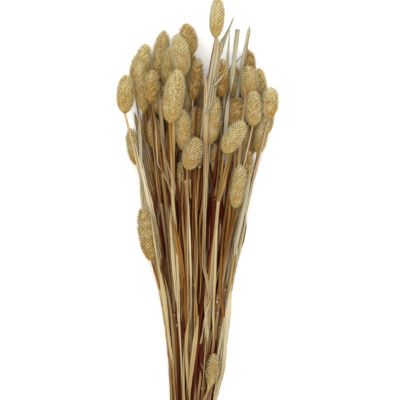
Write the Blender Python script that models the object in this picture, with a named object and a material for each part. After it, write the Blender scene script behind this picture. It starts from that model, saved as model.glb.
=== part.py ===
"""A bunch of dried canary grass, tied at its waist and laid on a flat surface.

The bunch lies along Y with its seed heads towards +Y and rests on z = 0. Each culm is one solid: a
jointed straw with a leaf sheath, a scaly seed head at its top and, on most of them, one dry blade.
An elastic band holds the straws together. Lengths are metres, and millimetres in the two tables.
"""

import math
import random

import bmesh
import bpy
import numpy as np
from mathutils import Vector

MM = 0.001
SEED = 11

# Where the tables' zero lies, seen from the bunch's own middle.
ORIGIN = Vector((1.0 * MM, 117.5 * MM, 0.0))

# The bunch along its length, from the tables' zero.
CUT_END = -391 * MM
CUT_END_SPREAD = 7 * MM
BAND_AT = -198 * MM
HEADS_FROM = 0 * MM
TOP_SLICE = 190 * MM
WAIST_ACROSS = -7 * MM
WAIST_HALF_WIDTH = 16 * MM
WAIST_THICKNESS = 27 * MM
WAIST_MIDDLE = 15 * MM
HEADS_THICKNESS = 66 * MM
LAYERS = 6
FLARE = 1.6
EARLY_SPREAD_LEFT = 0.1
EARLY_SPREAD_RIGHT = 0.7

# The straw.
STRAW_RADIUS = 1.15 * MM
NECK_RADIUS = 0.85 * MM
SHEATH_RADIUS = 1.6 * MM
JOINT_RADIUS = 1.8 * MM
STRAW_SIDES = 5
STRAW_STEP = 56 * MM
NECK_LENGTH = 17 * MM
JOINT_LENGTH = 5 * MM
JOINT_RANGE = (-112 * MM, -52 * MM)
SHEATH_RANGE = (60 * MM, 100 * MM)
SHEATH_LEAST = 25 * MM
LIGULE_BELOW_NECK = 8 * MM

# The seed head. Its scales stand in rings, each ring turned half a scale from the next.
SCALES_AROUND = 7
SCALE_STEP = 5.9 * MM
SCALE_RISE = 1.5 * MM
SCALE_REACH = 0.85
WIDEST_AT = 0.42
FIRST_RING = 0.05
LAST_RING = 0.92

# The blade.
BLADE_THICKNESS = 0.7 * MM
BLADE_STEP = 30 * MM
BLADE_ROOT_WIDTH = 1.5 * MM
BLADE_ROOT_DEPTH = 6 * MM
ROOT_LENGTH = 24 * MM
BLADE_PROBABILITY = 0.7
BLADE_LENGTH_RANGE = (60 * MM, 130 * MM)
BLADE_WIDTH_RANGE = (2.6 * MM, 4.6 * MM)
BLADE_PAST_HEAD = 30 * MM
BLADE_STRAY = 6 * MM
BLADE_TWIST = math.radians(70)

# The band.
BAND_WIDTH = 9 * MM
BAND_THICKNESS = 1.1 * MM
BAND_HOLD = 6.5 * MM
BAND_CORNERS = 28
JOINT_FROM_BAND = 14 * MM

# How close pieces lie, and how the bunch is settled.
GAP = 0.42 * MM
LEAST_GAP = 0.3 * MM
SLICE = 5 * MM
ROUGH_SWEEPS = 300
FINE_SWEEPS = 500
SETTLING = 0.15 * MM
GATHERING = 0.06

# Each seed head, read off the bunch from the front: its middle across and along, its lean to the
# right in degrees, its length and width, its layer (0 is the front), and how far its straw bows to
# the right.
HEADS = [
    (14, 145, 2, 33, 12, 0, -6),
    (-10, 130, -9, 26, 14, 3, 0),
    (-16, 120, -8, 29, 11, 4, 0),
    (-16, 115, -7, 32, 14, 1, 0),
    (-25, 107, 4, 32, 12, 2, 0),
    (-33, 117, 7, 41, 13, 3, 0),
    (-45, 111, 8, 31, 13, 3, -2),
    (-46, 90, -8, 38, 12, 2, 0),
    (-31, 96, 6, 29, 12, 4, 0),
    (-35, 82, -7, 27, 11, 2, 0),
    (-57, 85, 2, 31, 14, 2, 0),
    (-53, 43, -11, 31, 12, 3, 0),
    (-4, 97, 7, 34, 11, 2, 0),
    (-21, 82, 7, 42, 15, 0, 0),
    (-12, 77, 4, 32, 12, 3, 0),
    (-13, 56, -1, 33, 12, 1, 0),
    (-4, 61, 5, 28, 12, 2, 0),
    (-6, 37, 17, 27, 14, 0, 0),
    (-26, 46, -11, 25, 10, 2, 0),
    (-15, 14, 1, 34, 12, 2, 0),
    (-39, 53, -9, 27, 11, 2, 0),
    (8, 64, 7, 39, 13, 1, 0),
    (16, 63, 11, 30, 11, 3, 0),
    (27, 70, 13, 25, 14, 2, 0),
    (27, 50, 32, 29, 14, 0, 0),
    (38, 93, -5, 30, 14, 2, 0),
    (46, 91, 3, 31, 12, 3, 0),
    (43, 73, 0, 28, 13, 1, 0),
    (40, 108, -2, 28, 12, 3, 0),
    (30, 95, -4, 30, 12, 3, 0),
    (55, 78, 4, 25, 13, 1, 0),
    (43, 52, 3, 27, 10, 4, 0),
    (49, 53, 9, 33, 11, 2, 0),
    (38, 26, 7, 27, 10, 2, 0),
    (31, 11, 7, 35, 12, 1, 0),
    (-40, -27, -7, 44, 14, 1, 0),
    (10, -136, 6, 27, 8, 0, 0),
    (19, 98, 6, 30, 11, 2, 0),
    (-44, 62, -5, 34, 13, 5, 0),
    (-24, 66, 0, 36, 13, 5, 0),
    (2, 78, 3, 33, 13, 4, 0),
    (-8, 104, -4, 31, 12, 5, 0),
    (28, 72, 6, 35, 13, 5, 0),
    (44, 84, 8, 30, 13, 5, 0),
    (12, 30, 2, 32, 12, 3, 0),
    (-30, 18, -6, 33, 12, 5, 0),
    (-50, 104, 4, 31, 12, 4, 0),
    (-38, 91, 3, 25, 11, 1, 0),
    (-26, 78, -4, 33, 12, 1, 0),
    (-9, 86, 3, 32, 12, 4, 0),
    (-20, 34, -2, 31, 12, 3, 0),
    (0, 44, 2, 32, 12, 3, 0),
    (10, 92, 5, 30, 12, 3, 0),
    (36, 78, 6, 31, 12, 4, 0),
    (22, 44, 4, 32, 12, 4, 0),
    (35, 56, 8, 31, 12, 3, 0),
    (51, 66, 5, 28, 11, 3, 0),
]

# Blades that stand out: the head whose culm bears one, counted from 0, where it leaves the straw,
# where its tip lies across and along, its width, and its layer.
BLADES = [
    (0, 88, 28, 150, 2.8, 1),
    (37, 62, 24, 138, 2.8, 2),
    (23, 22, 30, 136, 4.2, 1),
    (29, 40, 40, 140, 3.6, 2),
    (21, 10, 4, 100, 3.0, 0),
    (30, -52, 43, 34, 5.0, 0),
    (6, -80, -50, 38, 4.4, 0),
    (19, -100, -23, -8, 4.4, 0),
    (17, -155, -1, -92, 4.8, 0),
]

# The straws' tones: colour and roughness.
TONES = {
    "pale": ((0.66, 0.52, 0.31), 0.62),
    "golden": ((0.52, 0.35, 0.16), 0.58),
    "brown": ((0.38, 0.23, 0.09), 0.6),
}
BAND_COLOUR = (0.55, 0.40, 0.22)


class Strand:
    """A straw or a blade on its way along the bunch.

    It has stations along Y, each with a place across, a height and a radius. The places that it
    starts with are also where it would like to lie. An owner is the straw that a blade grows on."""

    def __init__(self, stations, owner=None):
        rows = np.round(np.array(sorted(stations)), 7)
        self.along, self.across, self.height, self.radius = rows.T.copy()
        self.owner = owner
        self.head = None
        self.joint = None
        self.ligule = None

    def at(self, along):
        """The strand's middle at this place along it."""
        across = np.interp(along, self.along, self.across)
        return Vector((across, along, np.interp(along, self.along, self.height)))


class Head:
    """The seed head of one culm, as its ends and its widest."""

    def __init__(self, row):
        across, along, lean, length, width = row[:5]
        turn = math.radians(lean)
        half = Vector((math.sin(turn), math.cos(turn))) * length * MM / 2
        middle = Vector((across, along)) * MM
        self.base = middle - half
        self.tip = middle + half
        self.slant = 1 / math.cos(turn)
        self.core = width * MM / 2 - SCALE_RISE
        self.rows = round(length * MM / SCALE_STEP)

    def core_radius(self, share):
        """The radius under the scales, at this share of the way from the base to the tip."""
        if share < WIDEST_AT:
            part = (WIDEST_AT - share) / WIDEST_AT
            return self.core * math.sqrt(1 - part * part)
        part = min((share - WIDEST_AT) / (1 - WIDEST_AT), 1.0)
        return self.core * math.sqrt(1 - part * part * part)

    def radius_at(self, along):
        """The radius that the head and its scales take up across the bunch."""
        share = (along - self.base.y) / (self.tip.y - self.base.y)
        if not 0 < share < 1:
            return 0.0
        return (self.core_radius(share) + SCALE_RISE) * self.slant


def thickness_at(along):
    """How thick the bunch lies at this place along it."""
    share = min(max((along - BAND_AT) / (HEADS_FROM - BAND_AT), 0.0), 1.0)
    return WAIST_THICKNESS + share * (HEADS_THICKNESS - WAIST_THICKNESS)


def height_of(layer, along):
    """The middle height of a layer, counted from the front, at this place along the bunch."""
    return thickness_at(along) * (1 - (layer + 0.5) / LAYERS) + BAND_THICKNESS


def spaced(marks, step):
    """The marks, with even steps of about this length filled in between them."""
    places = [marks[0]]
    for start, stop in zip(marks, marks[1:]):
        count = max(1, round((stop - start) / step))
        places += [start + (stop - start) * k / count for k in range(1, count)] + [stop]
    return places


def waist_places():
    """Where each straw passes the waist, across: in each layer as their heads stand, side by side."""
    places = {}
    for layer in range(LAYERS):
        row = sorted((head[0], index) for index, head in enumerate(HEADS) if head[5] == layer)
        level = 1 - (2 * layer + 1) / LAYERS
        half = WAIST_HALF_WIDTH * math.sqrt(1 - level * level)
        for k, (_, index) in enumerate(row):
            places[index] = WAIST_ACROSS + half * ((2 * k + 1) / len(row) - 1)
    return places


def straw_strand(row, waist, joint, ligule, chance):
    """The strand of one culm, from its cut end through the waist to the tip of its head."""
    head = Head(row)
    layer, bow = row[5:]
    base, tip = head.base, head.tip
    rise = height_of(layer, BAND_AT) + chance.uniform(-1, 1) * MM
    cut = CUT_END + chance.uniform(-1, 1) * CUT_END_SPREAD
    end = WAIST_ACROSS + (waist - WAIST_ACROSS) * FLARE
    low = chance.choice((STRAW_RADIUS, SHEATH_RADIUS))
    first, last = BAND_AT - BAND_HOLD, BAND_AT + BAND_HOLD
    stations = [
        (cut, end, rise, low),
        ((cut + first) / 2, (waist + end) / 2, rise, low),
        (first, waist, rise, low),
        (last, waist, rise, low),
    ]
    early = EARLY_SPREAD_LEFT if base.x < waist else EARLY_SPREAD_RIGHT
    neck = base.y - NECK_LENGTH
    marks = [last, neck] if joint is None else [last, joint, ligule, neck]
    for along in spaced(marks, STRAW_STEP)[1:]:
        share = (along - last) / (base.y - last)
        spread = share * (early + (1 - early) * share)
        across = waist + spread * (base.x - waist) + 4 * share * (1 - share) * bow * MM
        height = rise + share * (height_of(layer, base.y) - rise)
        sheathed = joint is not None and joint <= along <= ligule
        stations.append((along, across, height, SHEATH_RADIUS if sheathed else STRAW_RADIUS))
    stations.append((base.y, base.x, height_of(layer, base.y), NECK_RADIUS))
    stations.append((tip.y, tip.x, height_of(layer, tip.y), 0.0))
    strand = Strand(stations)
    strand.head = head
    strand.joint = joint
    strand.ligule = ligule
    return strand


def blade_strand(straw, owner, tip, width, layer):
    """The strand of one blade, from the ligule of its straw to its own tip."""
    start = straw.at(straw.ligule)
    stations = [(start.y, start.x, start.z, width * 0.4)]
    for along in spaced([start.y + ROOT_LENGTH / 2, tip.y], BLADE_STEP):
        share = (along - start.y) / (tip.y - start.y)
        height = start.z + share * (2 - share) * (height_of(layer, along) - start.z)
        stations.append((along, start.x + share * (tip.x - start.x), height, width / 2))
    strand = Strand(stations, owner)
    strand.width = width
    return strand


def grow_strands():
    """Every straw, then every blade, where it would lie if nothing were in its way."""
    chance = random.Random(SEED)
    shown = {row[0]: row for row in BLADES}
    waists = waist_places()
    straws, blades = [], []
    for index, row in enumerate(HEADS):
        neck = Head(row).base.y - NECK_LENGTH
        joint = round(chance.uniform(*JOINT_RANGE), 7)
        ligule = round(min(joint + chance.uniform(*SHEATH_RANGE), neck - LIGULE_BELOW_NECK), 7)
        if index in shown:
            ligule = shown[index][1] * MM
            joint = max(ligule - SHEATH_RANGE[0], BAND_AT + BAND_HOLD + JOINT_FROM_BAND)
        elif ligule - joint < SHEATH_LEAST:
            joint = ligule = None
        straw = straw_strand(row, waists[index], joint, ligule, chance)
        straws.append(straw)
        if index in shown:
            _, _, across, along, width, layer = shown[index]
            tip = Vector((across, along)) * MM
            blades.append(blade_strand(straw, index, tip, width * MM, layer))
        elif ligule is not None and chance.random() < BLADE_PROBABILITY:
            along = ligule + chance.uniform(*BLADE_LENGTH_RANGE)
            along = min(along, straw.head.base.y + BLADE_PAST_HEAD)
            across = straw.at(along).x + chance.uniform(-1, 1) * BLADE_STRAY
            width = chance.uniform(*BLADE_WIDTH_RANGE)
            layer = min(max(row[5] + chance.choice((-0.6, 0.6)), 0.3), LAYERS - 1)
            blades.append(blade_strand(straw, index, Vector((across, along)), width, layer))
    return straws + blades


class Bundle:
    """All strands on common slices across the bunch, for pushing them apart together.

    Arrays run [slice, strand] or [station, strand]. Only sums, products and square roots are used,
    in a fixed order, so that the bunch settles the same way everywhere."""

    def __init__(self, strands):
        self.strands = strands
        most = max(len(strand.along) for strand in strands)
        count = len(strands)
        self.slices = np.arange(CUT_END - CUT_END_SPREAD, TOP_SLICE, SLICE)
        self.along = np.zeros((most, count))
        self.across = np.zeros((most, count))
        self.height = np.zeros((most, count))
        self.real = np.zeros((most, count), bool)
        self.share = np.zeros((len(self.slices), most, count))
        self.radius = np.zeros((len(self.slices), count))
        for k, strand in enumerate(strands):
            size = len(strand.along)
            self.along[:size, k] = strand.along
            self.across[:size, k] = strand.across
            self.height[:size, k] = strand.height
            self.real[:size, k] = True
            for i, peak in enumerate(np.eye(size)):
                self.share[:, i, k] = np.interp(self.slices, strand.along, peak)
            self.radius[:, k] = self.radius_of(strand)
        self.share *= (self.radius > 0)[:, None, :]
        self.wish_across = self.across.copy()
        self.wish_height = self.height.copy()
        self.need = self.clearances()
        in_band = np.abs(self.slices - BAND_AT) < BAND_HOLD + SLICE
        self.floor = self.radius + np.where(in_band, BAND_THICKNESS + LEAST_GAP, 0.0)[:, None]

    def radius_of(self, strand):
        """The radius that a strand takes up on each slice, and zero where it isn't."""
        radius = np.interp(self.slices, strand.along, strand.radius)
        if strand.head:
            scales = np.array([strand.head.radius_at(along) for along in self.slices])
            radius = np.maximum(radius, np.round(scales, 7))
        inside = (self.slices >= strand.along[0]) & (self.slices <= strand.along[-1])
        return np.where(inside, radius, 0.0)

    def clearances(self):
        """How far apart two strands must lie on each slice: [other, slice, strand]."""
        radius = self.radius
        both = (radius.T[:, :, None] > 0) & (radius[None] > 0)
        need = np.where(both, radius.T[:, :, None] + radius[None] + GAP, 0.0)
        for k, strand in enumerate(self.strands):
            need[k, :, k] = 0.0
            if strand.owner is not None:
                near = self.slices < strand.along[0] + ROOT_LENGTH
                need[k, near, strand.owner] = 0.0
                need[strand.owner, near, k] = 0.0
        return need

    def on_slices(self, values):
        """The stations' values, read on each slice."""
        return (self.share * values[None]).sum(axis=1)

    def to_stations(self, moves, weight):
        """Moves on the slices, carried back to the stations as a weighted mean."""
        total = (self.share * (moves * weight)[:, None, :]).sum(axis=0)
        shares = (self.share * weight[:, None, :]).sum(axis=0)
        return total / np.maximum(shares, 1e-3)

    def push_apart(self):
        """Moves strands that are too close, or sunk in the surface. Returns the worst overlap."""
        across = self.on_slices(self.across)
        height = self.on_slices(self.height)
        right = across[None] - across.T[:, :, None]
        up = height[None] - height.T[:, :, None]
        apart = np.sqrt(right * right + up * up) + 1e-9
        short = np.maximum(self.need - apart, 0.0)
        sunk = np.maximum(self.floor - height, 0.0) * (self.radius > 0)
        half = short / apart / 2
        touching = (short > 0).sum(axis=0) + (sunk > 0)
        ease = np.where(touching > 2, 2.0 / np.maximum(touching, 1), 1.0)
        weight = (touching > 0).astype(float)
        self.across += self.to_stations((half * right).sum(axis=0) * ease, weight)
        self.height += self.to_stations(((half * up).sum(axis=0) + sunk) * ease, weight)
        return max(float(short.max()), float(sunk.max()))

    def straighten(self, stiffness):
        """Bends each station back towards the strand's own first shape, between its neighbours."""
        run = self.along[2:] - self.along[:-2]
        part = (self.along[1:-1] - self.along[:-2]) / np.where(run > 0, run, 1.0)
        inner = self.real[2:] * stiffness
        for values, wish in ((self.across, self.wish_across), (self.height, self.wish_height)):
            off = values - wish
            line = off[:-2] + part * (off[2:] - off[:-2])
            values[1:-1] += inner * (line - off[1:-1])

    def lean_on_wishes(self, strength):
        """Draws the heads, and the blades' tips, back to where they are seen across the bunch."""
        for k, strand in enumerate(self.strands):
            size = len(strand.along)
            for i in range(size - (2 if strand.head else 1), size):
                self.across[i, k] += strength * (self.wish_across[i, k] - self.across[i, k])
                self.height[i, k] += strength / 4 * (self.wish_height[i, k] - self.height[i, k])

    def gather(self, strength):
        """Draws the straws together at the waist, as the band does, and keeps them level in it."""
        for k, strand in enumerate(self.strands):
            if strand.owner is None:
                across = (self.across[2, k] + self.across[3, k]) / 2
                height = (self.height[2, k] + self.height[3, k]) / 2
                self.across[2:4, k] = across + strength * (WAIST_ACROSS - across)
                self.height[2:4, k] = height + strength * (WAIST_MIDDLE - height)

    def root_blades(self):
        """Puts each blade's first station on its straw."""
        for k, strand in enumerate(self.strands):
            if strand.owner is not None:
                straw = self.strands[strand.owner]
                at = list(straw.along).index(strand.along[0])
                self.across[0, k] = self.across[at, strand.owner]
                self.height[0, k] = self.height[at, strand.owner]

    def settle(self):
        """Lets the bunch find its rest: first loosely, then with clearance alone."""
        sweeps = ROUGH_SWEEPS + FINE_SWEEPS
        for sweep in range(sweeps):
            ease = max(0.0, 1 - sweep / ROUGH_SWEEPS)
            self.height -= SETTLING * ease * self.real
            self.lean_on_wishes(0.1 * ease)
            self.gather(GATHERING * ease)
            self.straighten(0.25 * ease + 0.02 * (1 - sweep / sweeps))
            self.root_blades()
            worst = self.push_apart()
            if ease == 0 and worst < GAP - LEAST_GAP:
                break
        for k, strand in enumerate(self.strands):
            strand.across = self.across[: len(strand.along), k]
            strand.height = self.height[: len(strand.along), k]


def ring_points(middle, right, up, radius, count, turn):
    """Points around a middle, in the plane of two directions."""
    points = []
    for k in range(count):
        angle = turn + 2 * math.pi * k / count
        points.append(middle + (right * math.cos(angle) + up * math.sin(angle)) * radius)
    return points


def join_rings(bm, lower, upper):
    """Fills the strip between two rings, which may have different numbers of points."""
    low = high = 0
    while low < len(lower) or high < len(upper):
        corner = lower[low % len(lower)], upper[high % len(upper)]
        if (low + 1) * len(upper) <= (high + 1) * len(lower):
            low += 1
            third = lower[low % len(lower)]
        else:
            high += 1
            third = upper[high % len(upper)]
        bm.faces.new((*corner, third))


def join_sections(bm, lower, upper):
    """Fills a ribbon between two sections. Its two broad faces are split along the same diagonal."""
    for start, stop in ((1, 0), (2, 3), (1, 2), (0, 3)):
        bm.faces.new((lower[start], lower[stop], upper[stop]))
        bm.faces.new((lower[start], upper[stop], upper[start]))


def straw_rings(strand):
    """Where the straw's rings lie, and the radius of each: its stations, its joint and its ligule."""
    rings = list(zip(strand.along[:-1], strand.radius[:-1]))
    if strand.joint is not None:
        rings = [ring for ring in rings if abs(ring[0] - strand.joint) > JOINT_LENGTH / 2]
        rings.append((strand.joint - JOINT_LENGTH / 2, STRAW_RADIUS))
        rings.append((strand.joint, JOINT_RADIUS))
        rings.append((strand.joint + JOINT_LENGTH / 2, SHEATH_RADIUS))
        rings.append((strand.ligule + JOINT_LENGTH / 2, STRAW_RADIUS))
    return sorted(rings)


def grow_head(bm, strand, neck, turn):
    """Builds the seed head on the neck's ring: staggered scales, each a low pyramid leaning up."""
    head = strand.head
    base, tip = strand.at(strand.along[-2]), strand.at(strand.along[-1])
    axis = (tip - base).normalized()
    right = axis.cross(Vector((0, 0, 1))).normalized()
    up = right.cross(axis)
    step = 2 * math.pi / SCALES_AROUND
    shares = [FIRST_RING + (LAST_RING - FIRST_RING) * j / head.rows for j in range(head.rows + 1)]
    rings = []
    for j, share in enumerate(shares):
        middle = base.lerp(tip, share)
        start = turn + (j % 2) * step / 2
        points = ring_points(middle, right, up, head.core_radius(share), SCALES_AROUND, start)
        rings.append([bm.verts.new(point) for point in points])
    join_rings(bm, neck, rings[0])
    for i in range(SCALES_AROUND):
        bm.faces.new((rings[0][i], rings[0][(i + 1) % SCALES_AROUND], rings[1][i]))
    for j in range(head.rows - 1):
        share = shares[j] + (shares[j + 2] - shares[j]) * SCALE_REACH
        radius = head.core_radius(share) + SCALE_RISE
        start = turn + (j % 2) * step / 2
        peaks = ring_points(base.lerp(tip, share), right, up, radius, SCALES_AROUND, start)
        for i, peak in enumerate(peaks):
            side = (i - 1, i) if j % 2 == 0 else (i, (i + 1) % SCALES_AROUND)
            corners = [rings[j][i], rings[j + 1][side[1]], rings[j + 2][i], rings[j + 1][side[0]]]
            point = bm.verts.new(peak)
            for a, b in zip(corners, corners[1:] + corners[:1]):
                bm.faces.new((a, b, point))
    top = bm.verts.new(tip)
    last = rings[-1]
    for i in range(SCALES_AROUND):
        following = (i + 1) % SCALES_AROUND
        below = rings[-2][i] if head.rows % 2 == 0 else rings[-2][following]
        bm.faces.new((last[i], last[following], below))
        bm.faces.new((last[i], last[following], top))


def mesh_object(name, bm):
    """An object with this mesh, its faces pointing out, placed from the bunch's own middle."""
    bmesh.ops.recalc_face_normals(bm, faces=bm.faces)
    mesh = bpy.data.meshes.new(name)
    bm.to_mesh(mesh)
    bm.free()
    mesh.shade_smooth()
    mesh.set_sharp_from_angle(angle=math.radians(35))
    thing = bpy.data.objects.new(name, mesh)
    bpy.context.scene.collection.objects.link(thing)
    thing.location = ORIGIN
    return thing


def culm_object(name, strand, chance):
    """One culm without its blade: the straw, its joint and sheath, and its seed head."""
    bm = bmesh.new()
    right, up = Vector((1, 0, 0)), Vector((0, 0, 1))
    flat_down = -math.pi / 2 + math.pi / STRAW_SIDES
    previous = None
    for along, radius in straw_rings(strand):
        points = ring_points(strand.at(along), right, up, radius, STRAW_SIDES, flat_down)
        ring = [bm.verts.new(point) for point in points]
        if previous:
            join_rings(bm, previous, ring)
        else:
            bm.faces.new(ring)
        previous = ring
    grow_head(bm, strand, previous, flat_down + chance.uniform(0, 2 * math.pi / SCALES_AROUND))
    return mesh_object(name, bm)


def blade_object(name, strand, straw, chance):
    """One blade: a thin twisting ribbon that widens from its root and ends in a point."""
    bm = bmesh.new()
    roll = chance.uniform(-1, 1) * BLADE_TWIST
    twist = chance.uniform(-1, 1) * BLADE_TWIST
    length = strand.along[-1] - strand.along[0]
    places = [strand.along[0] - BLADE_ROOT_DEPTH, *strand.along[1:-1]]
    previous = None
    for along in places:
        share = (along - strand.along[0]) / length
        width = strand.width if previous else BLADE_ROOT_WIDTH
        angle = roll + twist * share if previous else 0.0
        across = Vector((math.cos(angle), 0, math.sin(angle))) * width / 2
        through = Vector((-math.sin(angle), 0, math.cos(angle))) * BLADE_THICKNESS / 2
        middle = strand.at(along) if previous else straw.at(along)
        points = (across + through, through - across, -across - through, across - through)
        section = [bm.verts.new(middle + point) for point in points]
        if previous:
            join_sections(bm, previous, section)
        else:
            bm.faces.new(section)
        previous = section
    tip = bm.verts.new(strand.at(strand.along[-1]))
    for k in range(4):
        bm.faces.new((previous[k], previous[(k + 1) % 4], tip))
    return mesh_object(name, bm)


def unite(thing, other):
    """Joins another object to this one as a single solid, and removes the other."""
    union = thing.modifiers.new("union", "BOOLEAN")
    union.operation = "UNION"
    union.object = other
    union.solver = "MANIFOLD"
    bpy.context.view_layer.update()
    shaped = thing.evaluated_get(bpy.context.evaluated_depsgraph_get())
    mesh = bpy.data.meshes.new_from_object(shaped)
    thing.modifiers.clear()
    thing.data = mesh
    bpy.data.objects.remove(other)


def band_object(strands):
    """The elastic band: a flat strip drawn tight round the straws, lying flat on the surface."""
    middles = [strand.at(BAND_AT) for strand in strands if strand.owner is None]
    radii = [np.interp(BAND_AT, s.along, s.radius) for s in strands if s.owner is None]
    step = 2 * math.pi / BAND_CORNERS
    sides = []
    for k in range(BAND_CORNERS):
        out = Vector((math.sin(k * step), 0, -math.cos(k * step)))
        reach = max(middle.dot(out) + radius for middle, radius in zip(middles, radii)) + GAP
        sides.append((out, reach))
    sides[0] = (sides[0][0], -BAND_THICKNESS)
    bm = bmesh.new()
    rings = []
    for along, extra in ((-1, 0), (-1, 1), (1, 1), (1, 0)):
        ring = []
        for (out, reach), (beyond, further) in zip(sides, sides[1:] + sides[:1]):
            reach, further = reach + extra * BAND_THICKNESS, further + extra * BAND_THICKNESS
            slant = (further - reach * math.cos(step)) / math.sin(step)
            side = Vector((-out.z, 0, out.x))
            corner = out * reach + side * slant
            corner.y = BAND_AT + along * BAND_WIDTH / 2
            ring.append(bm.verts.new(corner))
        rings.append(ring)
    for lower, upper in zip(rings, rings[1:] + rings[:1]):
        for k in range(BAND_CORNERS):
            following = (k + 1) % BAND_CORNERS
            bm.faces.new((lower[k], lower[following], upper[following], upper[k]))
    return mesh_object("band", bm)


def principled(name, colour, roughness):
    """A plain material."""
    material = bpy.data.materials.new(name)
    material.use_nodes = True
    shader = material.node_tree.nodes["Principled BSDF"]
    shader.inputs["Base Color"].default_value = (*colour, 1)
    shader.inputs["Roughness"].default_value = roughness
    shader.inputs["Metallic"].default_value = 0.0
    return material


def main():
    for thing in list(bpy.data.objects):
        bpy.data.objects.remove(thing)
    strands = grow_strands()
    Bundle(strands).settle()
    chance = random.Random(SEED)
    tones = [principled(f"straw_{name}", *tone) for name, tone in TONES.items()]
    culms = []
    for index in range(len(HEADS)):
        culm = culm_object(f"culm_{index + 1:02d}", strands[index], chance)
        culm.data.materials.append(tones[index % len(tones)])
        culms.append(culm)
    for strand in strands[len(HEADS):]:
        blade = blade_object("blade", strand, strands[strand.owner], chance)
        unite(culms[strand.owner], blade)
    band = band_object(strands)
    band.data.materials.append(principled("band", BAND_COLOUR, 0.7))


main()
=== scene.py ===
"""Looks of a bunch of dried canary grass that lies on a pale floor, seen from straight above.

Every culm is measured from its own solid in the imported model: the way of its straw, its joint,
the top of its leaf sheath, its blade and its seed head. The fine straw, the sheath, the papery
blade and the scales of the head are then grown along those measures, in metres, in the frame of
the model: +Y runs from the cut ends to the heads and +Z is up.
"""

import logging
import math
from dataclasses import dataclass, field
from enum import Enum
from itertools import combinations

import bpy
import numpy as np
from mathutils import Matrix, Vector


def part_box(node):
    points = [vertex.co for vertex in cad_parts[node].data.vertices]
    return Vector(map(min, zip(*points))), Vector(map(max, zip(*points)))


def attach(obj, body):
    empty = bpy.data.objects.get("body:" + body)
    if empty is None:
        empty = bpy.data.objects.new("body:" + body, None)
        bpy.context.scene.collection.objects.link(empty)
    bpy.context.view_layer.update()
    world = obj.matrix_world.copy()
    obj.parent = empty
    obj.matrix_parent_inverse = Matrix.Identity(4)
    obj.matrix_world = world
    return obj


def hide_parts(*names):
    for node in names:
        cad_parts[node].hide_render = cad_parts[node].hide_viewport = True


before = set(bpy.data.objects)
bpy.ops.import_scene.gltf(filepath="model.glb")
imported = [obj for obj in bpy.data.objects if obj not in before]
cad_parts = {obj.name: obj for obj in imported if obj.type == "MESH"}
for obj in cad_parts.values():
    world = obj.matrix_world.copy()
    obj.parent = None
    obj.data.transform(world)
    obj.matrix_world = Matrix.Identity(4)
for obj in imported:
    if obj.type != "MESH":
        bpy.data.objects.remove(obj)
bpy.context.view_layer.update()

LOG = logging.getLogger("bunch")
MM = 0.001
ROOT_BODY = "root"
BAND_NODE = "band"
UP = (0.0, 0.0, 1.0)

Vec = np.ndarray
Socket = bpy.types.NodeSocket
Pair = tuple[float, float]
Triple = tuple[float, float, float]
Colour = Triple
Span = tuple[float, float, float, float]
Stops = tuple[tuple[float, Colour], ...]

WHITE = (1.0, 1.0, 1.0)

# What a draft keeps for each point besides its place, for the finishes to read. Deep is how much painted
# shade a point takes from lying deep in the bunch.
MARKS = ("leaf", "dark", "tone", "deep")

# Where a chance wave starts, in radians.
PHASE = (0, 6)

# The smallest length and number that are divided by.
TINY = 1e-12
SMALL = 1e-9


class Tone(Enum):
    """The slots that a culm takes its finish from, in the order in which the culms take turns."""

    PALE = "straw_pale"
    GOLDEN = "straw_golden"
    BROWN = "straw_brown"


class TipForm(Enum):
    """How a dry blade ends."""

    POINTED = "pointed"
    SPLIT = "split"
    SQUARE = "square"
    ROUNDED = "rounded"


def unit(vectors: Vec) -> Vec:
    """The vectors, each one metre long."""
    return vectors / np.maximum(np.linalg.norm(vectors, axis=-1, keepdims=True), TINY)


def distances(points: Vec) -> Vec:
    """How far along the line through these points each of them is."""
    return np.concatenate([[0.0], np.cumsum(np.linalg.norm(np.diff(points, axis=0), axis=1))])


def tilted(turn: Vec) -> Vec:
    """Ways across the bunch, each turned up from level by its angle in radians."""
    return np.stack([np.cos(turn), np.zeros(len(turn)), np.sin(turn)], axis=1)


def hump(places: Vec, form: Triple, scale: float = 1.0) -> Vec:
    """How high a soft hump is at some places. Its form is its height, its place and its width."""
    height, middle, width = form
    return height * scale * np.exp(-(((places - middle) / width) ** 2))


def ring_angles(corners: int) -> Vec:
    """The bearings of the corners of an even ring."""
    return np.arange(corners) * 2 * math.pi / corners


def ring_walls(rows: Vec, following: Vec, corners: int) -> Vec:
    """The faces between rings and the rings that follow them.

    Args:
        rows: the number of each ring's first corner, in a column.
        following: the same for the ring that follows it.
        corners: how many corners a ring has.

    Returns:
        Rows of four corner numbers.
    """
    column = np.arange(corners)[None]
    after = (column + 1) % corners
    walls = (rows + column, rows + after, following + after, following + column)
    return np.stack(walls, axis=-1).reshape(-1, 4)


def eased(knots: Vec, values: Vec, at: Vec) -> Vec:
    """A smooth curve through values at knots.

    Args:
        knots: rising places, one for each row of values.
        values: rows of numbers.
        at: the places that are asked for.

    Returns:
        One row for each place asked for.
    """
    slopes = np.gradient(values, knots, axis=0)
    left = np.clip(np.searchsorted(knots, at, side="right") - 1, 0, len(knots) - 2)
    reach = (knots[left + 1] - knots[left])[:, None]
    t = (at - knots[left])[:, None] / reach
    start = (2 * t**3 - 3 * t**2 + 1) * values[left] + (t**3 - 2 * t**2 + t) * reach * slopes[left]
    end = (3 * t**2 - 2 * t**3) * values[left + 1] + (t**3 - t**2) * reach * slopes[left + 1]
    return start + end


def place_object(name: str, data: bpy.types.ID) -> bpy.types.Object:
    """Puts something new in the scene.

    Args:
        name: its name.
        data: the mesh, light or camera that it holds.

    Returns:
        The object.
    """
    made = bpy.data.objects.new(name, data)
    bpy.context.scene.collection.objects.link(made)
    return made


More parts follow.
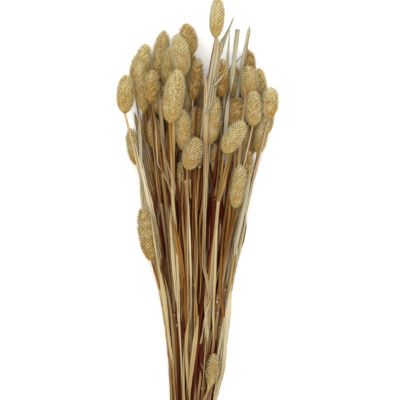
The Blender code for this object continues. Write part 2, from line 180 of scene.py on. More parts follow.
class Draft:
    """Points and faces of one piece, with the marks that its finish reads."""

    def __init__(self) -> None:
        """Starts with nothing."""
        self.points: list[Vec] = []
        self.faces: list[list[int]] = []
        self.grain: list[Vec] = []
        self.marks: dict[str, list[Vec]] = {name: [] for name in MARKS}
        self.count = 0

    def add(self, points: Vec, faces: Vec | list, grain: Vec, **marks: Vec | float) -> None:
        """Takes in one closed body.

        Args:
            points: its corners.
            faces: arrays of corner numbers, one array for each number of corners.
            grain: for each corner, its place in the piece's own fibres.
            marks: values for MARKS, one number or one for each corner.
        """
        for block in faces:
            self.faces.extend((np.asarray(block) + self.count).tolist())
        self.points.append(points)
        self.grain.append(grain)
        for name in MARKS:
            values = np.broadcast_to(marks.get(name, 0.0), len(points))
            self.marks[name].append(values.astype(float))
        self.count += len(points)

    def to_piece(self, name: str, material: bpy.types.Material, smooth: bool) -> bpy.types.Object:
        """Makes the Blender object.

        Args:
            name: the piece's name.
            material: its finish.
            smooth: whether its faces are shaded as one round surface.

        Returns:
            The object, linked to the scene.
        """
        mesh = bpy.data.meshes.new(name)
        mesh.from_pydata(np.concatenate(self.points).tolist(), [], self.faces)
        grain = mesh.attributes.new("grain", "FLOAT_VECTOR", "POINT")
        grain.data.foreach_set("vector", np.concatenate(self.grain).astype(np.float32).ravel())
        for key, rows in self.marks.items():
            values = mesh.attributes.new(key, "FLOAT", "POINT")
            values.data.foreach_set("value", np.concatenate(rows).astype(np.float32))
        mesh.polygons.foreach_set("use_smooth", [smooth] * len(mesh.polygons))
        mesh.materials.append(material)
        mesh.update()
        return place_object(name, mesh)


@dataclass(frozen=True)
class BladePlan:
    """A blade as its culm's solid holds it: the middles, ways across and widths of its sections."""

    middles: Vec
    sides: Vec
    widths: Vec
    tip: Vec


@dataclass(frozen=True)
class CulmPlan:
    """One culm as its solid holds it. Rings are rows of along, across, height and radius."""

    name: str
    number: int
    rings: Vec
    joint: float | None
    ligule: float | None
    head_base: Vec
    head_tip: Vec
    head_reach: float
    blade: BladePlan | None
    knot_gap: float = 9 * MM

    @property
    def tone(self) -> Tone:
        """The slot that this culm's finish comes from."""
        return list(Tone)[(self.number - 1) % len(Tone)]

    @property
    def foot(self) -> float:
        """Where the straw's cut end is along the bunch."""
        return self.rings[0, 0]

    @property
    def neck(self) -> float:
        """Where the straw ends along the bunch, at the base of the head."""
        return self.head_base[1]

    def middle(self, along: Vec) -> Vec:
        """Points on the straw's middle line.

        Args:
            along: places along the bunch.

        Returns:
            One point for each place.
        """
        kept = [0]
        for row in range(1, len(self.rings)):
            if self.rings[row, 0] - self.rings[kept[-1], 0] > self.knot_gap:
                kept.append(row)
        knots = self.rings[kept]
        flat = eased(knots[:, 0], knots[:, 1:3], along)
        return np.stack([flat[:, 0], along, flat[:, 1]], axis=1)

    def spine(self, shares: Vec) -> Vec:
        """Points on the head's middle line, at these shares of its length."""
        return self.head_base + shares * (self.head_tip - self.head_base)


class SolidReader:
    """Reads a culm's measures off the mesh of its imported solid."""

    RING_CORNERS = 5
    RING_MOST = 12
    RING_LEAST = 0.5 * MM
    SECTION_CORNERS = 4
    TIP_NEIGHBOURS = 7
    SHEATH = 1.55 * MM
    SHEATH_LENGTH = 20 * MM
    JOINT = 1.75 * MM
    EVEN = 2e-5
    BLADE_LEAST = 2.2 * MM
    BLADE_END = 20 * MM
    PLACE_DIGITS = 6
    LEVEL_DIGITS = 5
    HEAD_SHARES = (0.25, 0.7)
    HEAD_RADIUS = 9 * MM
    HEAD_STEADY = 1.35

    def __init__(self, name: str) -> None:
        """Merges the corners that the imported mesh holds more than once.

        Args:
            name: the culm's node.
        """
        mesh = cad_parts[name].data
        places = np.empty(len(mesh.vertices) * 3)
        mesh.vertices.foreach_get("co", places)
        self.name = name
        rounded = np.round(places.reshape(-1, 3), self.PLACE_DIGITS)
        self.points, same = np.unique(rounded, axis=0, return_inverse=True)
        same = same.ravel()
        self.near: list[set[int]] = [set() for _ in self.points]
        for polygon in mesh.polygons:
            corners = [int(same[v]) for v in polygon.vertices]
            for one, other in zip(corners, corners[1:] + corners[:1]):
                self.near[one].add(other)
                self.near[other].add(one)
        self.levels: dict[float, list[int]] = {}
        for number, point in enumerate(self.points):
            self.levels.setdefault(round(float(point[1]), self.LEVEL_DIGITS), []).append(number)

    def rings(self) -> Vec:
        """The rings of the straw, from its cut end to the neck below its head.

        Returns:
            Rows of along, across, height and radius.
        """
        found = []
        for along, numbers in sorted(self.levels.items()):
            if not self.RING_CORNERS <= len(numbers) <= self.RING_MOST:
                continue
            for few in combinations(numbers, self.RING_CORNERS):
                flat = self.points[list(few)][:, [0, 2]]
                middle = flat.mean(axis=0)
                away = np.linalg.norm(flat - middle, axis=1)
                if np.ptp(away) < self.EVEN / 2 and away.mean() > self.RING_LEAST:
                    found.append((along, middle[0], middle[1], away.mean()))
                    break
        return np.array(found)

    def section(self, numbers: list[int]) -> tuple[Vec, Vec, float] | None:
        """One section of the blade.

        Args:
            numbers: the corners that lie at one place along the bunch.

        Returns:
            Its middle, way across and width, or None where the corners aren't a blade's section.
        """
        corners = self.points[numbers]
        middle = corners.mean(axis=0)
        away = np.linalg.norm(corners - middle, axis=1)
        width = max(np.linalg.norm(one - other) for one, other in combinations(corners, 2))
        if np.ptp(away) > self.EVEN or width < self.BLADE_LEAST:
            return None
        order = np.argsort(np.linalg.norm(corners - corners[0], axis=1))
        return middle, unit(middle - (corners[0] + corners[order[1]]) / 2), width

    def blade(self) -> BladePlan | None:
        """The blade, where the culm has one.

        Returns:
            The blade's plan, or None.
        """
        middles, sides, widths, last = [], [], [], []
        for _, numbers in sorted(self.levels.items()):
            found = self.section(numbers) if len(numbers) == self.SECTION_CORNERS else None
            if found is None:
                continue
            middle, side, width = found
            if sides and side @ sides[-1] < 0:
                side = -side
            middles.append(middle)
            sides.append(side)
            widths.append(width)
            last = numbers
        if not middles:
            return None
        tips = set.intersection(*(self.near[number] for number in last)) - set(last)
        if tips:
            tip = self.points[max(tips, key=lambda number: self.points[number][1])]
        else:
            tip = middles[-1] + (0, self.BLADE_END, 0)
        return BladePlan(np.array(middles), np.array(sides), np.array(widths), tip)

    def tip(self) -> Vec:
        """The tip of the head: the one corner with as many even edges as the head has sides.

        Returns:
            Its place.
        """
        tip = None
        for index, near in enumerate(self.near):
            if len(near) == self.TIP_NEIGHBOURS:
                reach = np.linalg.norm(self.points[list(near)] - self.points[index], axis=1)
                if np.ptp(reach) < self.EVEN:
                    tip = self.points[index]
        return tip

    def head_reach(self, base: Vec, tip: Vec) -> float:
        """How far the head's scales reach from its middle line.

        Args:
            base: the head's base.
            tip: its tip.

        Returns:
            The radius at its thickest.
        """
        axis, length = unit(tip - base), np.linalg.norm(tip - base)
        away = self.points - base
        beyond = away @ axis
        across = np.linalg.norm(away - beyond[:, None] * axis, axis=1)
        low, high = self.HEAD_SHARES
        on_head = (beyond > length * low) & (beyond < length * high) & (across < self.HEAD_RADIUS)
        found = np.sort(across[on_head])
        return float(found[found < np.median(found) * self.HEAD_STEADY][-1])

    def plan(self, number: int) -> CulmPlan:
        """All the measures of the culm.

        Args:
            number: the culm's number.

        Returns:
            Its plan.
        """
        rings = self.rings()
        base, tip = rings[-1, [1, 0, 2]], self.tip()
        joints = rings[rings[:, 3] > self.JOINT, 0]
        joint = float(joints[0]) if len(joints) else None
        ligule = None
        if joint is not None:
            above = rings[(rings[:, 0] > joint) & (rings[:, 3] > self.SHEATH), 0]
            ligule = float(above.max()) if len(above) else joint + self.SHEATH_LENGTH
        return CulmPlan(
            self.name, number, rings, joint, ligule, base, tip, self.head_reach(base, tip), self.blade())


@dataclass(frozen=True)
class Girth:
    """How far the bunch reaches at each place along it, across and up.

    Within the skin, a share of that reach, a point counts as lying at the outline. Towards the
    tops the depth fades away."""

    along: Vec
    low: Vec
    high: Vec
    skin: float = 0.2
    tops: float = 240 * MM
    fading: float = 70 * MM

    @classmethod
    def around(cls, culms: list[CulmPlan]) -> "Girth":
        """Measures the bunch.

        Args:
            culms: all its culms.

        Returns:
            Its girth.
        """
        straw_step, straw_radius = 4 * MM, 1.4 * MM
        head_dots, head_share = 12, 0.8
        slice_step, slice_half = 8 * MM, 9 * MM
        rows = []
        for culm in culms:
            steps = np.arange(culm.foot, culm.neck, straw_step)
            rows.append(np.column_stack([culm.middle(steps), np.full(len(steps), straw_radius)]))
            places = culm.spine(np.linspace(0, 1, head_dots)[:, None])
            rows.append(np.column_stack([places, np.full(len(places), culm.head_reach * head_share)]))
        dots = np.concatenate(rows)
        along = np.arange(dots[:, 1].min(), dots[:, 1].max(), slice_step)
        low, high = [], []
        for place in along:
            near = dots[np.abs(dots[:, 1] - place) < slice_half]
            flat = near[:, [0, 2]]
            low.append((flat - near[:, 3:]).min(axis=0))
            high.append((flat + near[:, 3:]).max(axis=0))
        return cls(along, np.array(low), np.array(high))

    def section(self, along: Vec) -> tuple[Vec, Vec]:
        """The bunch's section at some places along it.

        Args:
            along: the places.

        Returns:
            Its middle, and half its reach: rows of across and up.
        """
        low, high = (
            np.stack([np.interp(along, self.along, side[:, k]) for k in (0, 1)], axis=1)
            for side in (self.low, self.high)
        )
        return (low + high) / 2, np.maximum((high - low) / 2, MM)

    def depth(self, points: Vec) -> Vec:
        """How deep the points lie in the bunch.

        Args:
            points: the points.

        Returns:
            For each point 0 at the bunch's outline, 1 in its middle.
        """
        middle, half = self.section(points[:, 1])
        away = (points[:, [0, 2]] - middle) / half
        inward = np.clip((1 - (away**2).sum(axis=1) - self.skin) / (1 - self.skin), 0, 1)
        return inward * np.clip((self.tops - points[:, 1]) / self.fading, 0, 1)

    def inside(self, points: Vec, share: float) -> Vec:
        """Draws points into the bunch, without moving them along it.

        Args:
            points: the points.
            share: the share of the bunch's reach that they are to lie within.

        Returns:
            The points in their new places.
        """
        middle, half = self.section(points[:, 1])
        half = half * share
        away = (points[:, [0, 2]] - middle) / half
        far = np.maximum(np.linalg.norm(away, axis=1, keepdims=True), 1.0)
        flat = middle + away / far * half
        return np.column_stack([flat[:, 0], points[:, 1], flat[:, 1]])


@dataclass(frozen=True)
class Heap:
    """The straws and heads of the bunch as balls, to lay leaves on and to keep them clear of heads.

    A point is surrounded by the balls within near of it and within level of its place along the
    bunch, and it is under a roof where a ball lies higher than roof above it. It counts as in the
    thick of the pile where the balls weigh thick, and the pull of openness takes away from that."""

    middles: Vec
    radii: Vec
    bases: Vec
    tips: Vec
    reaches: Vec
    straw_radius: float = 1.6 * MM
    near: float = 6 * MM
    level: float = 4 * MM
    closest: float = 0.3 * MM
    thick: float = 7.0
    openness: float = 1.5
    roof: float = 1.2 * MM
    open_share: float = 0.45
    floor_height: float = 1.5 * MM
    head_share: float = 0.9
    head_room: float = 0.5 * MM

    @classmethod
    def of(cls, culms: list[CulmPlan]) -> "Heap":
        """Gathers the balls.

        Args:
            culms: the culms that they stand for.

        Returns:
            The heap.
        """
        straw_step, head_balls, head_ends, head_round = 3 * MM, 12, (0.08, 0.92), 0.8
        share = np.linspace(*head_ends, head_balls)[:, None]
        middles, radii = [], []
        for culm in culms:
            steps = np.arange(culm.foot, culm.neck, straw_step)
            middles += [culm.middle(steps), culm.spine(share)]
            radii.append(np.full(len(steps), cls.straw_radius))
            radii.append(culm.head_reach * np.sqrt(1 - (2 * share[:, 0] - 1) ** 2 * head_round))
        balls, sizes = np.concatenate(middles), np.concatenate(radii)
        order = np.argsort(balls[:, 1])
        bases, tips, reaches = (
            np.array([getattr(culm, key) for culm in culms])
            for key in ("head_base", "head_tip", "head_reach")
        )
        return cls(balls[order], sizes[order], bases, tips, reaches)

    def enclosed(self, points: Vec, corners: int) -> Vec:
        """How closely the pile surrounds each point across the bunch: 0 in the open, 1 in its thick. It
        sets how much painted shade the point takes.

        Args:
            points: the corners of outlines, one outline after another.
            corners: how many corners each outline has.

        Returns:
            One share for each point.
        """
        outlines = points.reshape(-1, corners, 3)
        along = outlines[:, :, 1].mean(axis=1)
        first = np.searchsorted(self.middles[:, 1], along - self.level)
        last = np.searchsorted(self.middles[:, 1], along + self.level)
        shares = np.zeros((len(outlines), corners))
        for row, (start, stop) in enumerate(zip(first, last)):
            away = self.middles[start:stop, [0, 2]] - outlines[row][:, None, [0, 2]]
            size = self.radii[start:stop]
            far = np.maximum(np.linalg.norm(away, axis=2), self.closest)
            weight = np.clip(1 - (far - size) / self.near, 0, 1) ** 2 * size / self.straw_radius
            total = weight.sum(axis=1) + SMALL
            pull = np.linalg.norm((away * (weight / far)[..., None]).sum(axis=1), axis=1)
            roofed = ((np.abs(away[..., 0]) < size) & (away[..., 1] > self.roof)).any(axis=1)
            shares[row] = np.clip(1 - self.openness * pull / total, 0, 1)
            shares[row] *= np.clip(total / self.thick, 0, 1)
            shares[row] *= np.where(roofed, 1.0, self.open_share)
        return shares.ravel()

    def top(self, flat: Vec, half_width: float) -> Vec:
        """The height of the pile under a leaf.

        Args:
            flat: the leaf's places across and along.
            half_width: half the leaf's width.

        Returns:
            One height for each place.
        """
        heights = []
        for across, along in flat:
            aside = np.hypot(self.middles[:, 0] - across, self.middles[:, 1] - along)
            under = aside < self.radii + half_width
            rise = np.sqrt(np.clip(self.radii**2 - np.clip(aside - half_width, 0, None) ** 2, 0, None))
            tops = (self.middles[:, 2] + rise)[under]
            heights.append(tops.max() if under.any() else self.floor_height)
        return np.array(heights)

    def clear(self, points: Vec) -> int:
        """How far a leaf may grow before it meets a head.

        Args:
            points: the points on the leaf's middle line, root first.

        Returns:
            How many of the points, from the first on, are outside every head.
        """
        span = self.tips - self.bases
        along = ((points[:, None] - self.bases) * span).sum(axis=2) / (span**2).sum(axis=1)
        nearest = self.bases + np.clip(along, 0, 1)[..., None] * span
        away = np.linalg.norm(points[:, None] - nearest, axis=2)
        met = (away < self.reaches * self.head_share + self.head_room).any(axis=1)
        return int(np.argmax(met)) if met.any() else len(points)


@dataclass(frozen=True)
class Strap:
    """A leaf that lies on top of the pile.

    It has its width in millimetres, how pale it is, how it ends, how far it turns over, its way
    across and along in millimetres, root first, and how much wider it is in its middle."""

    width: float
    tone: float
    form: TipForm
    turn: float
    way: tuple[Pair, ...]
    swell: float = 0.0

    def farness(self, culm: CulmPlan) -> float:
        """How far aside and how deep a culm's straw is at the strap's root.

        Args:
            culm: the culm.

        Returns:
            A length, or infinity where the straw doesn't reach the root.
        """
        below, above, depth_share = 10 * MM, 12 * MM, 0.5
        across, along = (part * MM for part in self.way[0])
        if not culm.foot < along - below < culm.neck - above:
            return math.inf
        middle = culm.middle(np.array([along]))[0]
        return abs(middle[0] - across) - depth_share * middle[2]

    def nearest(self, culms: list[CulmPlan]) -> int:
        """The number of the culm whose straw is nearest below the strap's root."""
        return min(culms, key=self.farness).number


POINTED, SPLIT, SQUARE, ROUNDED = TipForm
STRAPS = (
    Strap(1.0, 0.9, POINTED, 0.2, ((-31.0, 118.0), (-32.2, 140.0), (-33.4, 160.0), (-35.0, 181.0))),
    Strap(1.1, 0.85, POINTED, 0.3, ((-27.0, 128.0), (-27.8, 150.0), (-28.6, 172.0), (-29.8, 198.0))),
    Strap(1.0, 0.9, POINTED, 0.2, ((-17.0, 112.0), (-19.4, 128.0), (-22.4, 146.0))),
    Strap(1.8, 1.0, POINTED, 0.1, ((3.4, 185.0), (5.0, 194.3), (10.6, 204.7), (23.4, 220.7),
                                    (40.2, 239.1))),
    Strap(3.0, 1.15, POINTED, 0.15, ((-41.0, 88.0), (-43.6, 104.0), (-45.4, 125.0), (-46.2, 145.0),
                                     (-47.4, 172.0), (-48.4, 201.0))),
    Strap(1.1, 1.1, POINTED, 0.3, ((9.8, 213.5), (14.6, 233.5), (19.4, 248.7), (26.6, 259.1))),
    Strap(2.9, 0.75, SQUARE, 0.25, ((3.4, 35.9), (4.2, 85.5), (5.8, 141.5), (6.6, 181.5), (7.4, 215.1))),
    Strap(1.9, 0.6, POINTED, 0.3, ((3.4, 77.5), (4.2, 125.5), (4.2, 165.5), (5.0, 203.9))),
    Strap(2.7, 0.8, SPLIT, 0.5, ((-22.2, 30.3), (-19.4, 47.1), (-20.6, 71.1), (-22.2, 96.7),
                                 (-23.0, 113.5))),
    Strap(2.1, 0.7, POINTED, 0.7, ((-15.8, 11.9), (-16.2, 45.5), (-17.4, 77.5), (-19.0, 105.5),
                                   (-21.4, 135.1))),
    Strap(1.9, 0.15, POINTED, 0.3, ((-11.0, 1.5), (-11.0, 37.5), (-11.8, 73.5), (-13.4, 113.5),
                                    (-14.2, 141.5))),
    Strap(2.7, 0.8, SPLIT, 0.9, ((5.8, 1.5), (5.8, 37.5), (5.8, 67.9), (5.8, 80.7))),
    Strap(2.1, 0.75, POINTED, 0.5, ((10.6, -4.1), (11.8, 29.5), (13.0, 61.5), (14.2, 93.5), (16.2, 117.5))),
    Strap(3.1, 0.2, SPLIT, 0.4, ((16.2, 13.5), (17.0, 45.5), (19.4, 85.5), (23.4, 121.5), (26.6, 145.5))),
    Strap(2.1, 0.85, SQUARE, 1.6, ((4.2, -41.7), (1.0, -4.1), (4.2, 17.5), (8.2, 32.7), (11.4, 42.3))),
    Strap(2.7, 0.6, POINTED, 0.8, ((-7.8, -46.5), (-9.4, -20.1), (-10.2, 1.5), (-7.0, 29.5))),
    Strap(2.3, 0.45, POINTED, 0.4, ((20.4, 11.5), (23.8, 37.5), (28.0, 67.9), (33.8, 101.5),
                                    (37.8, 125.5))),
    Strap(2.0, 0.7, POINTED, 0.5, ((-23.0, -10.5), (-27.0, 23.1), (-31.0, 57.5), (-35.8, 89.5),
                                   (-39.0, 113.5))),
    Strap(1.9, 0.55, POINTED, 0.6, ((-2.2, -10.5), (-3.0, 29.5), (-1.4, 67.9), (-2.2, 101.5),
                                    (-3.0, 129.5))),
    Strap(1.6, 0.85, POINTED, 0.4, ((-6.2, 5.5), (-6.2, 53.5), (-7.4, 93.5), (-8.6, 125.5))),
    Strap(4.6, 1.15, ROUNDED, 0.1, ((3.6, 165.5), (6.0, 189.5), (9.0, 209.5), (12.4, 229.5),
                                    (15.0, 246.0))),
    Strap(3.4, 1.05, ROUNDED, 0.2, ((5.8, 165.5), (9.6, 189.5), (13.0, 209.5), (15.6, 229.5),
                                    (17.8, 245.0))),
    Strap(3.2, 1.25, POINTED, 0.1, ((11.4, 205.5), (15.4, 225.5), (18.6, 240.5), (23.6, 254.7),
                                    (29.6, 267.5))),
    Strap(3.6, 1.1, POINTED, 0.0, ((28.4, 49.5), (30.4, 69.5), (32.4, 85.5), (34.0, 93.5), (35.4, 103.9),
                                   (37.2, 117.5), (39.0, 132.0)), 1.3),
    Strap(4.6, 1.0, POINTED, 0.0, ((16.6, -50.0), (18.6, -24.0), (20.4, -4.0), (22.2, 13.5), (24.8, 41.5),
                                   (26.6, 62.0))),
    Strap(3.8, 0.7, POINTED, 0.2, ((-21.0, -20.0), (-24.2, 1.5), (-25.8, 20.0), (-27.6, 38.0),
                                   (-29.8, 53.0), (-33.0, 75.0))),
)

# Where joints show on top of the pile, across and along in millimetres.
SHOWN_JOINTS = (
    (-24.0, 61.8), (-25.6, 24.7), (-23.6, 17.0), (-17.5, 18.5), (17.7, 16.2), (2.4, -32.7), (18.1, -36.6),
    (6.0, 80.5), (-4.0, 51.0), (22.5, 39.0),
)

# By the number of the culm: how the blades that stand out from the heads end, how far the scales
# of the bristly heads stand out, and how pale the heads, straws and blades are that stand out.
BLADE_TIPS = {
    1: POINTED, 38: POINTED, 24: SQUARE, 30: ROUNDED, 22: ROUNDED, 31: SPLIT, 7: POINTED, 20: POINTED,
    18: POINTED,
}
BRISTLES = {37: 2.0, 18: 1.5, 24: 1.4, 26: 1.5, 28: 1.35, 4: 1.3, 25: 1.3, 2: 1.2}
HEAD_TONES = {
    1: 0.85, 2: 0.45, 4: 0.9, 6: 0.6, 7: 0.55, 11: 0.6, 13: 0.15, 14: 0.8, 16: 0.6, 17: 0.5, 18: 0.75,
    22: 0.65, 24: 0.3, 25: 0.9, 26: 0.75, 28: 0.7, 29: 0.1, 31: 0.5, 35: 0.9, 36: 0.65, 37: 0.75,
    38: 0.15, 48: 0.35, 49: 0.3, 10: 0.2, 8: 0.6, 9: 0.25, 19: 0.4, 21: 0.45, 56: 0.3, 57: 0.5,
}
STRAW_TONES = {31: 0.9, 11: 0.9, 10: 0.7, 9: 0.6, 4: 0.6, 14: 0.6, 15: 0.6, 13: 0.7}
BLADE_TONES = {1: 1.25, 24: 1.2, 30: 1.25, 31: 1.15, 38: 1.15, 22: 0.95}


class Recipe:
    """The nodes of one finish."""

    def __init__(self, name: str) -> None:
        """Starts a material with its shader.

        Args:
            name: the material's name.
        """
        self.material = bpy.data.materials.new(name)
        self.material.use_nodes = True
        self.tree = self.material.node_tree
        self.shader = self.tree.nodes["Principled BSDF"]

    def node(self, kind: str, **settings: object) -> bpy.types.Node:
        """Adds a node.

        Args:
            kind: the node's type.
            settings: the properties to set on it.

        Returns:
            The node.
        """
        made = self.tree.nodes.new(kind)
        for key, value in settings.items():
            setattr(made, key, value)
        return made

    def feed(self, socket: Socket, value: object) -> None:
        """Links a node's output to a socket, or sets the socket's own value.

        Args:
            socket: the socket to feed.
            value: an output or a plain value.
        """
        if isinstance(value, Socket):
            self.tree.links.new(value, socket)
        else:
            socket.default_value = value

    def made(self, kind: str, inputs: dict, output: int | str = 0, **settings: object) -> Socket:
        """Adds a node and feeds it.

        Args:
            kind: the node's type.
            inputs: values or outputs for its sockets, by the socket's name or number.
            output: the output that is asked for.
            settings: the properties to set on it.

        Returns:
            That output.
        """
        node = self.node(kind, **settings)
        for key, value in inputs.items():
            self.feed(node.inputs[key], value)
        return node.outputs[output]

    def finish(self, **values: object) -> bpy.types.Material:
        """Feeds the shader's own sockets.

        Args:
            values: a value or output for each socket, by its name with _ for spaces.

        Returns:
            The finished material.
        """
        for key, value in values.items():
            self.feed(self.shader.inputs[key.replace("_", " ")], value)
        return self.material

    def mark(self, name: str) -> Socket:
        """A mark of the draft, as a number."""
        return self.made("ShaderNodeAttribute", {}, "Fac", attribute_name=name)

    def place(self) -> Socket:
        """The place in the object."""
        return self.node("ShaderNodeTexCoord").outputs["Object"]

    def grain(self, scale: Triple) -> Socket:
        """The place in the piece's own fibres, stretched by scale."""
        fibres = self.made("ShaderNodeAttribute", {}, "Vector", attribute_name="grain")
        return self.made("ShaderNodeVectorMath", {0: fibres, 1: scale}, operation="MULTIPLY")

    def noise(self, vector: Socket, detail: float = 3.0, rough: float = 0.55) -> Socket:
        """Noise of about one lump to each unit of the vector."""
        return self.made("ShaderNodeTexNoise", {
            "Vector": vector, "Scale": 1.0, "Detail": detail, "Roughness": rough}, "Fac")

    def lumps(self, scale: float) -> Socket:
        """Noise over the object, of this many lumps to the metre."""
        return self.made("ShaderNodeTexNoise", {"Vector": self.place(), "Scale": scale}, "Fac")

    def math(self, operation: str, *values: object) -> Socket:
        """The result of a sum on numbers."""
        return self.made("ShaderNodeMath", dict(enumerate(values)), operation=operation)

    def add(self, one: object, other: object) -> Socket:
        """The two numbers added."""
        return self.math("ADD", one, other)

    def times(self, one: object, other: object) -> Socket:
        """The two numbers multiplied."""
        return self.math("MULTIPLY", one, other)

    def less(self, one: object, other: object) -> Socket:
        """One number less the other."""
        return self.math("SUBTRACT", one, other)

    def span(self, value: object, low: float, high: float, to_low: float, to_high: float) -> Socket:
        """The value carried from one range to another, and held at its ends."""
        return self.made("ShaderNodeMapRange", {
            "Value": value, "From Min": low, "From Max": high, "To Min": to_low, "To Max": to_high})

    def ramp(self, value: Socket, stops: Stops) -> Socket:
        """A colour for each value.

        Args:
            value: the output to colour.
            stops: places and their colours.

        Returns:
            The colour.
        """
        made = self.node("ShaderNodeValToRGB")
        band = made.color_ramp
        while len(band.elements) < len(stops):
            band.elements.new(0.5)
        for element, (place, colour) in zip(band.elements, stops):
            element.position = place
            element.color = (*colour, 1.0)
        self.feed(made.inputs[0], value)
        return made.outputs[0]

    def mix(self, share: object, one: object, other: object, blend: str = "MIX") -> Socket:
        """One colour turned towards the other.

        Args:
            share: how far, from 0 to 1.
            one: the first colour.
            other: the second.
            blend: how the second is laid on the first.

        Returns:
            The new colour.
        """
        colours = {key: (*value, 1.0) if isinstance(value, tuple) else value
                   for key, value in ((6, one), (7, other))}
        return self.made("ShaderNodeMix", {0: share, **colours}, 2, data_type="RGBA", blend_type=blend)

    def tint(self, share: object, colour: object, tint: object) -> Socket:
        """A colour multiplied by another, by share."""
        return self.mix(share, colour, tint, "MULTIPLY")

    def bump(self, height: Socket, distance: float, strength: float) -> None:
        """Gives the shader a raised grain."""
        raised = self.made("ShaderNodeBump", {"Height": height, "Distance": distance, "Strength": strength})
        self.feed(self.shader.inputs["Normal"], raised)


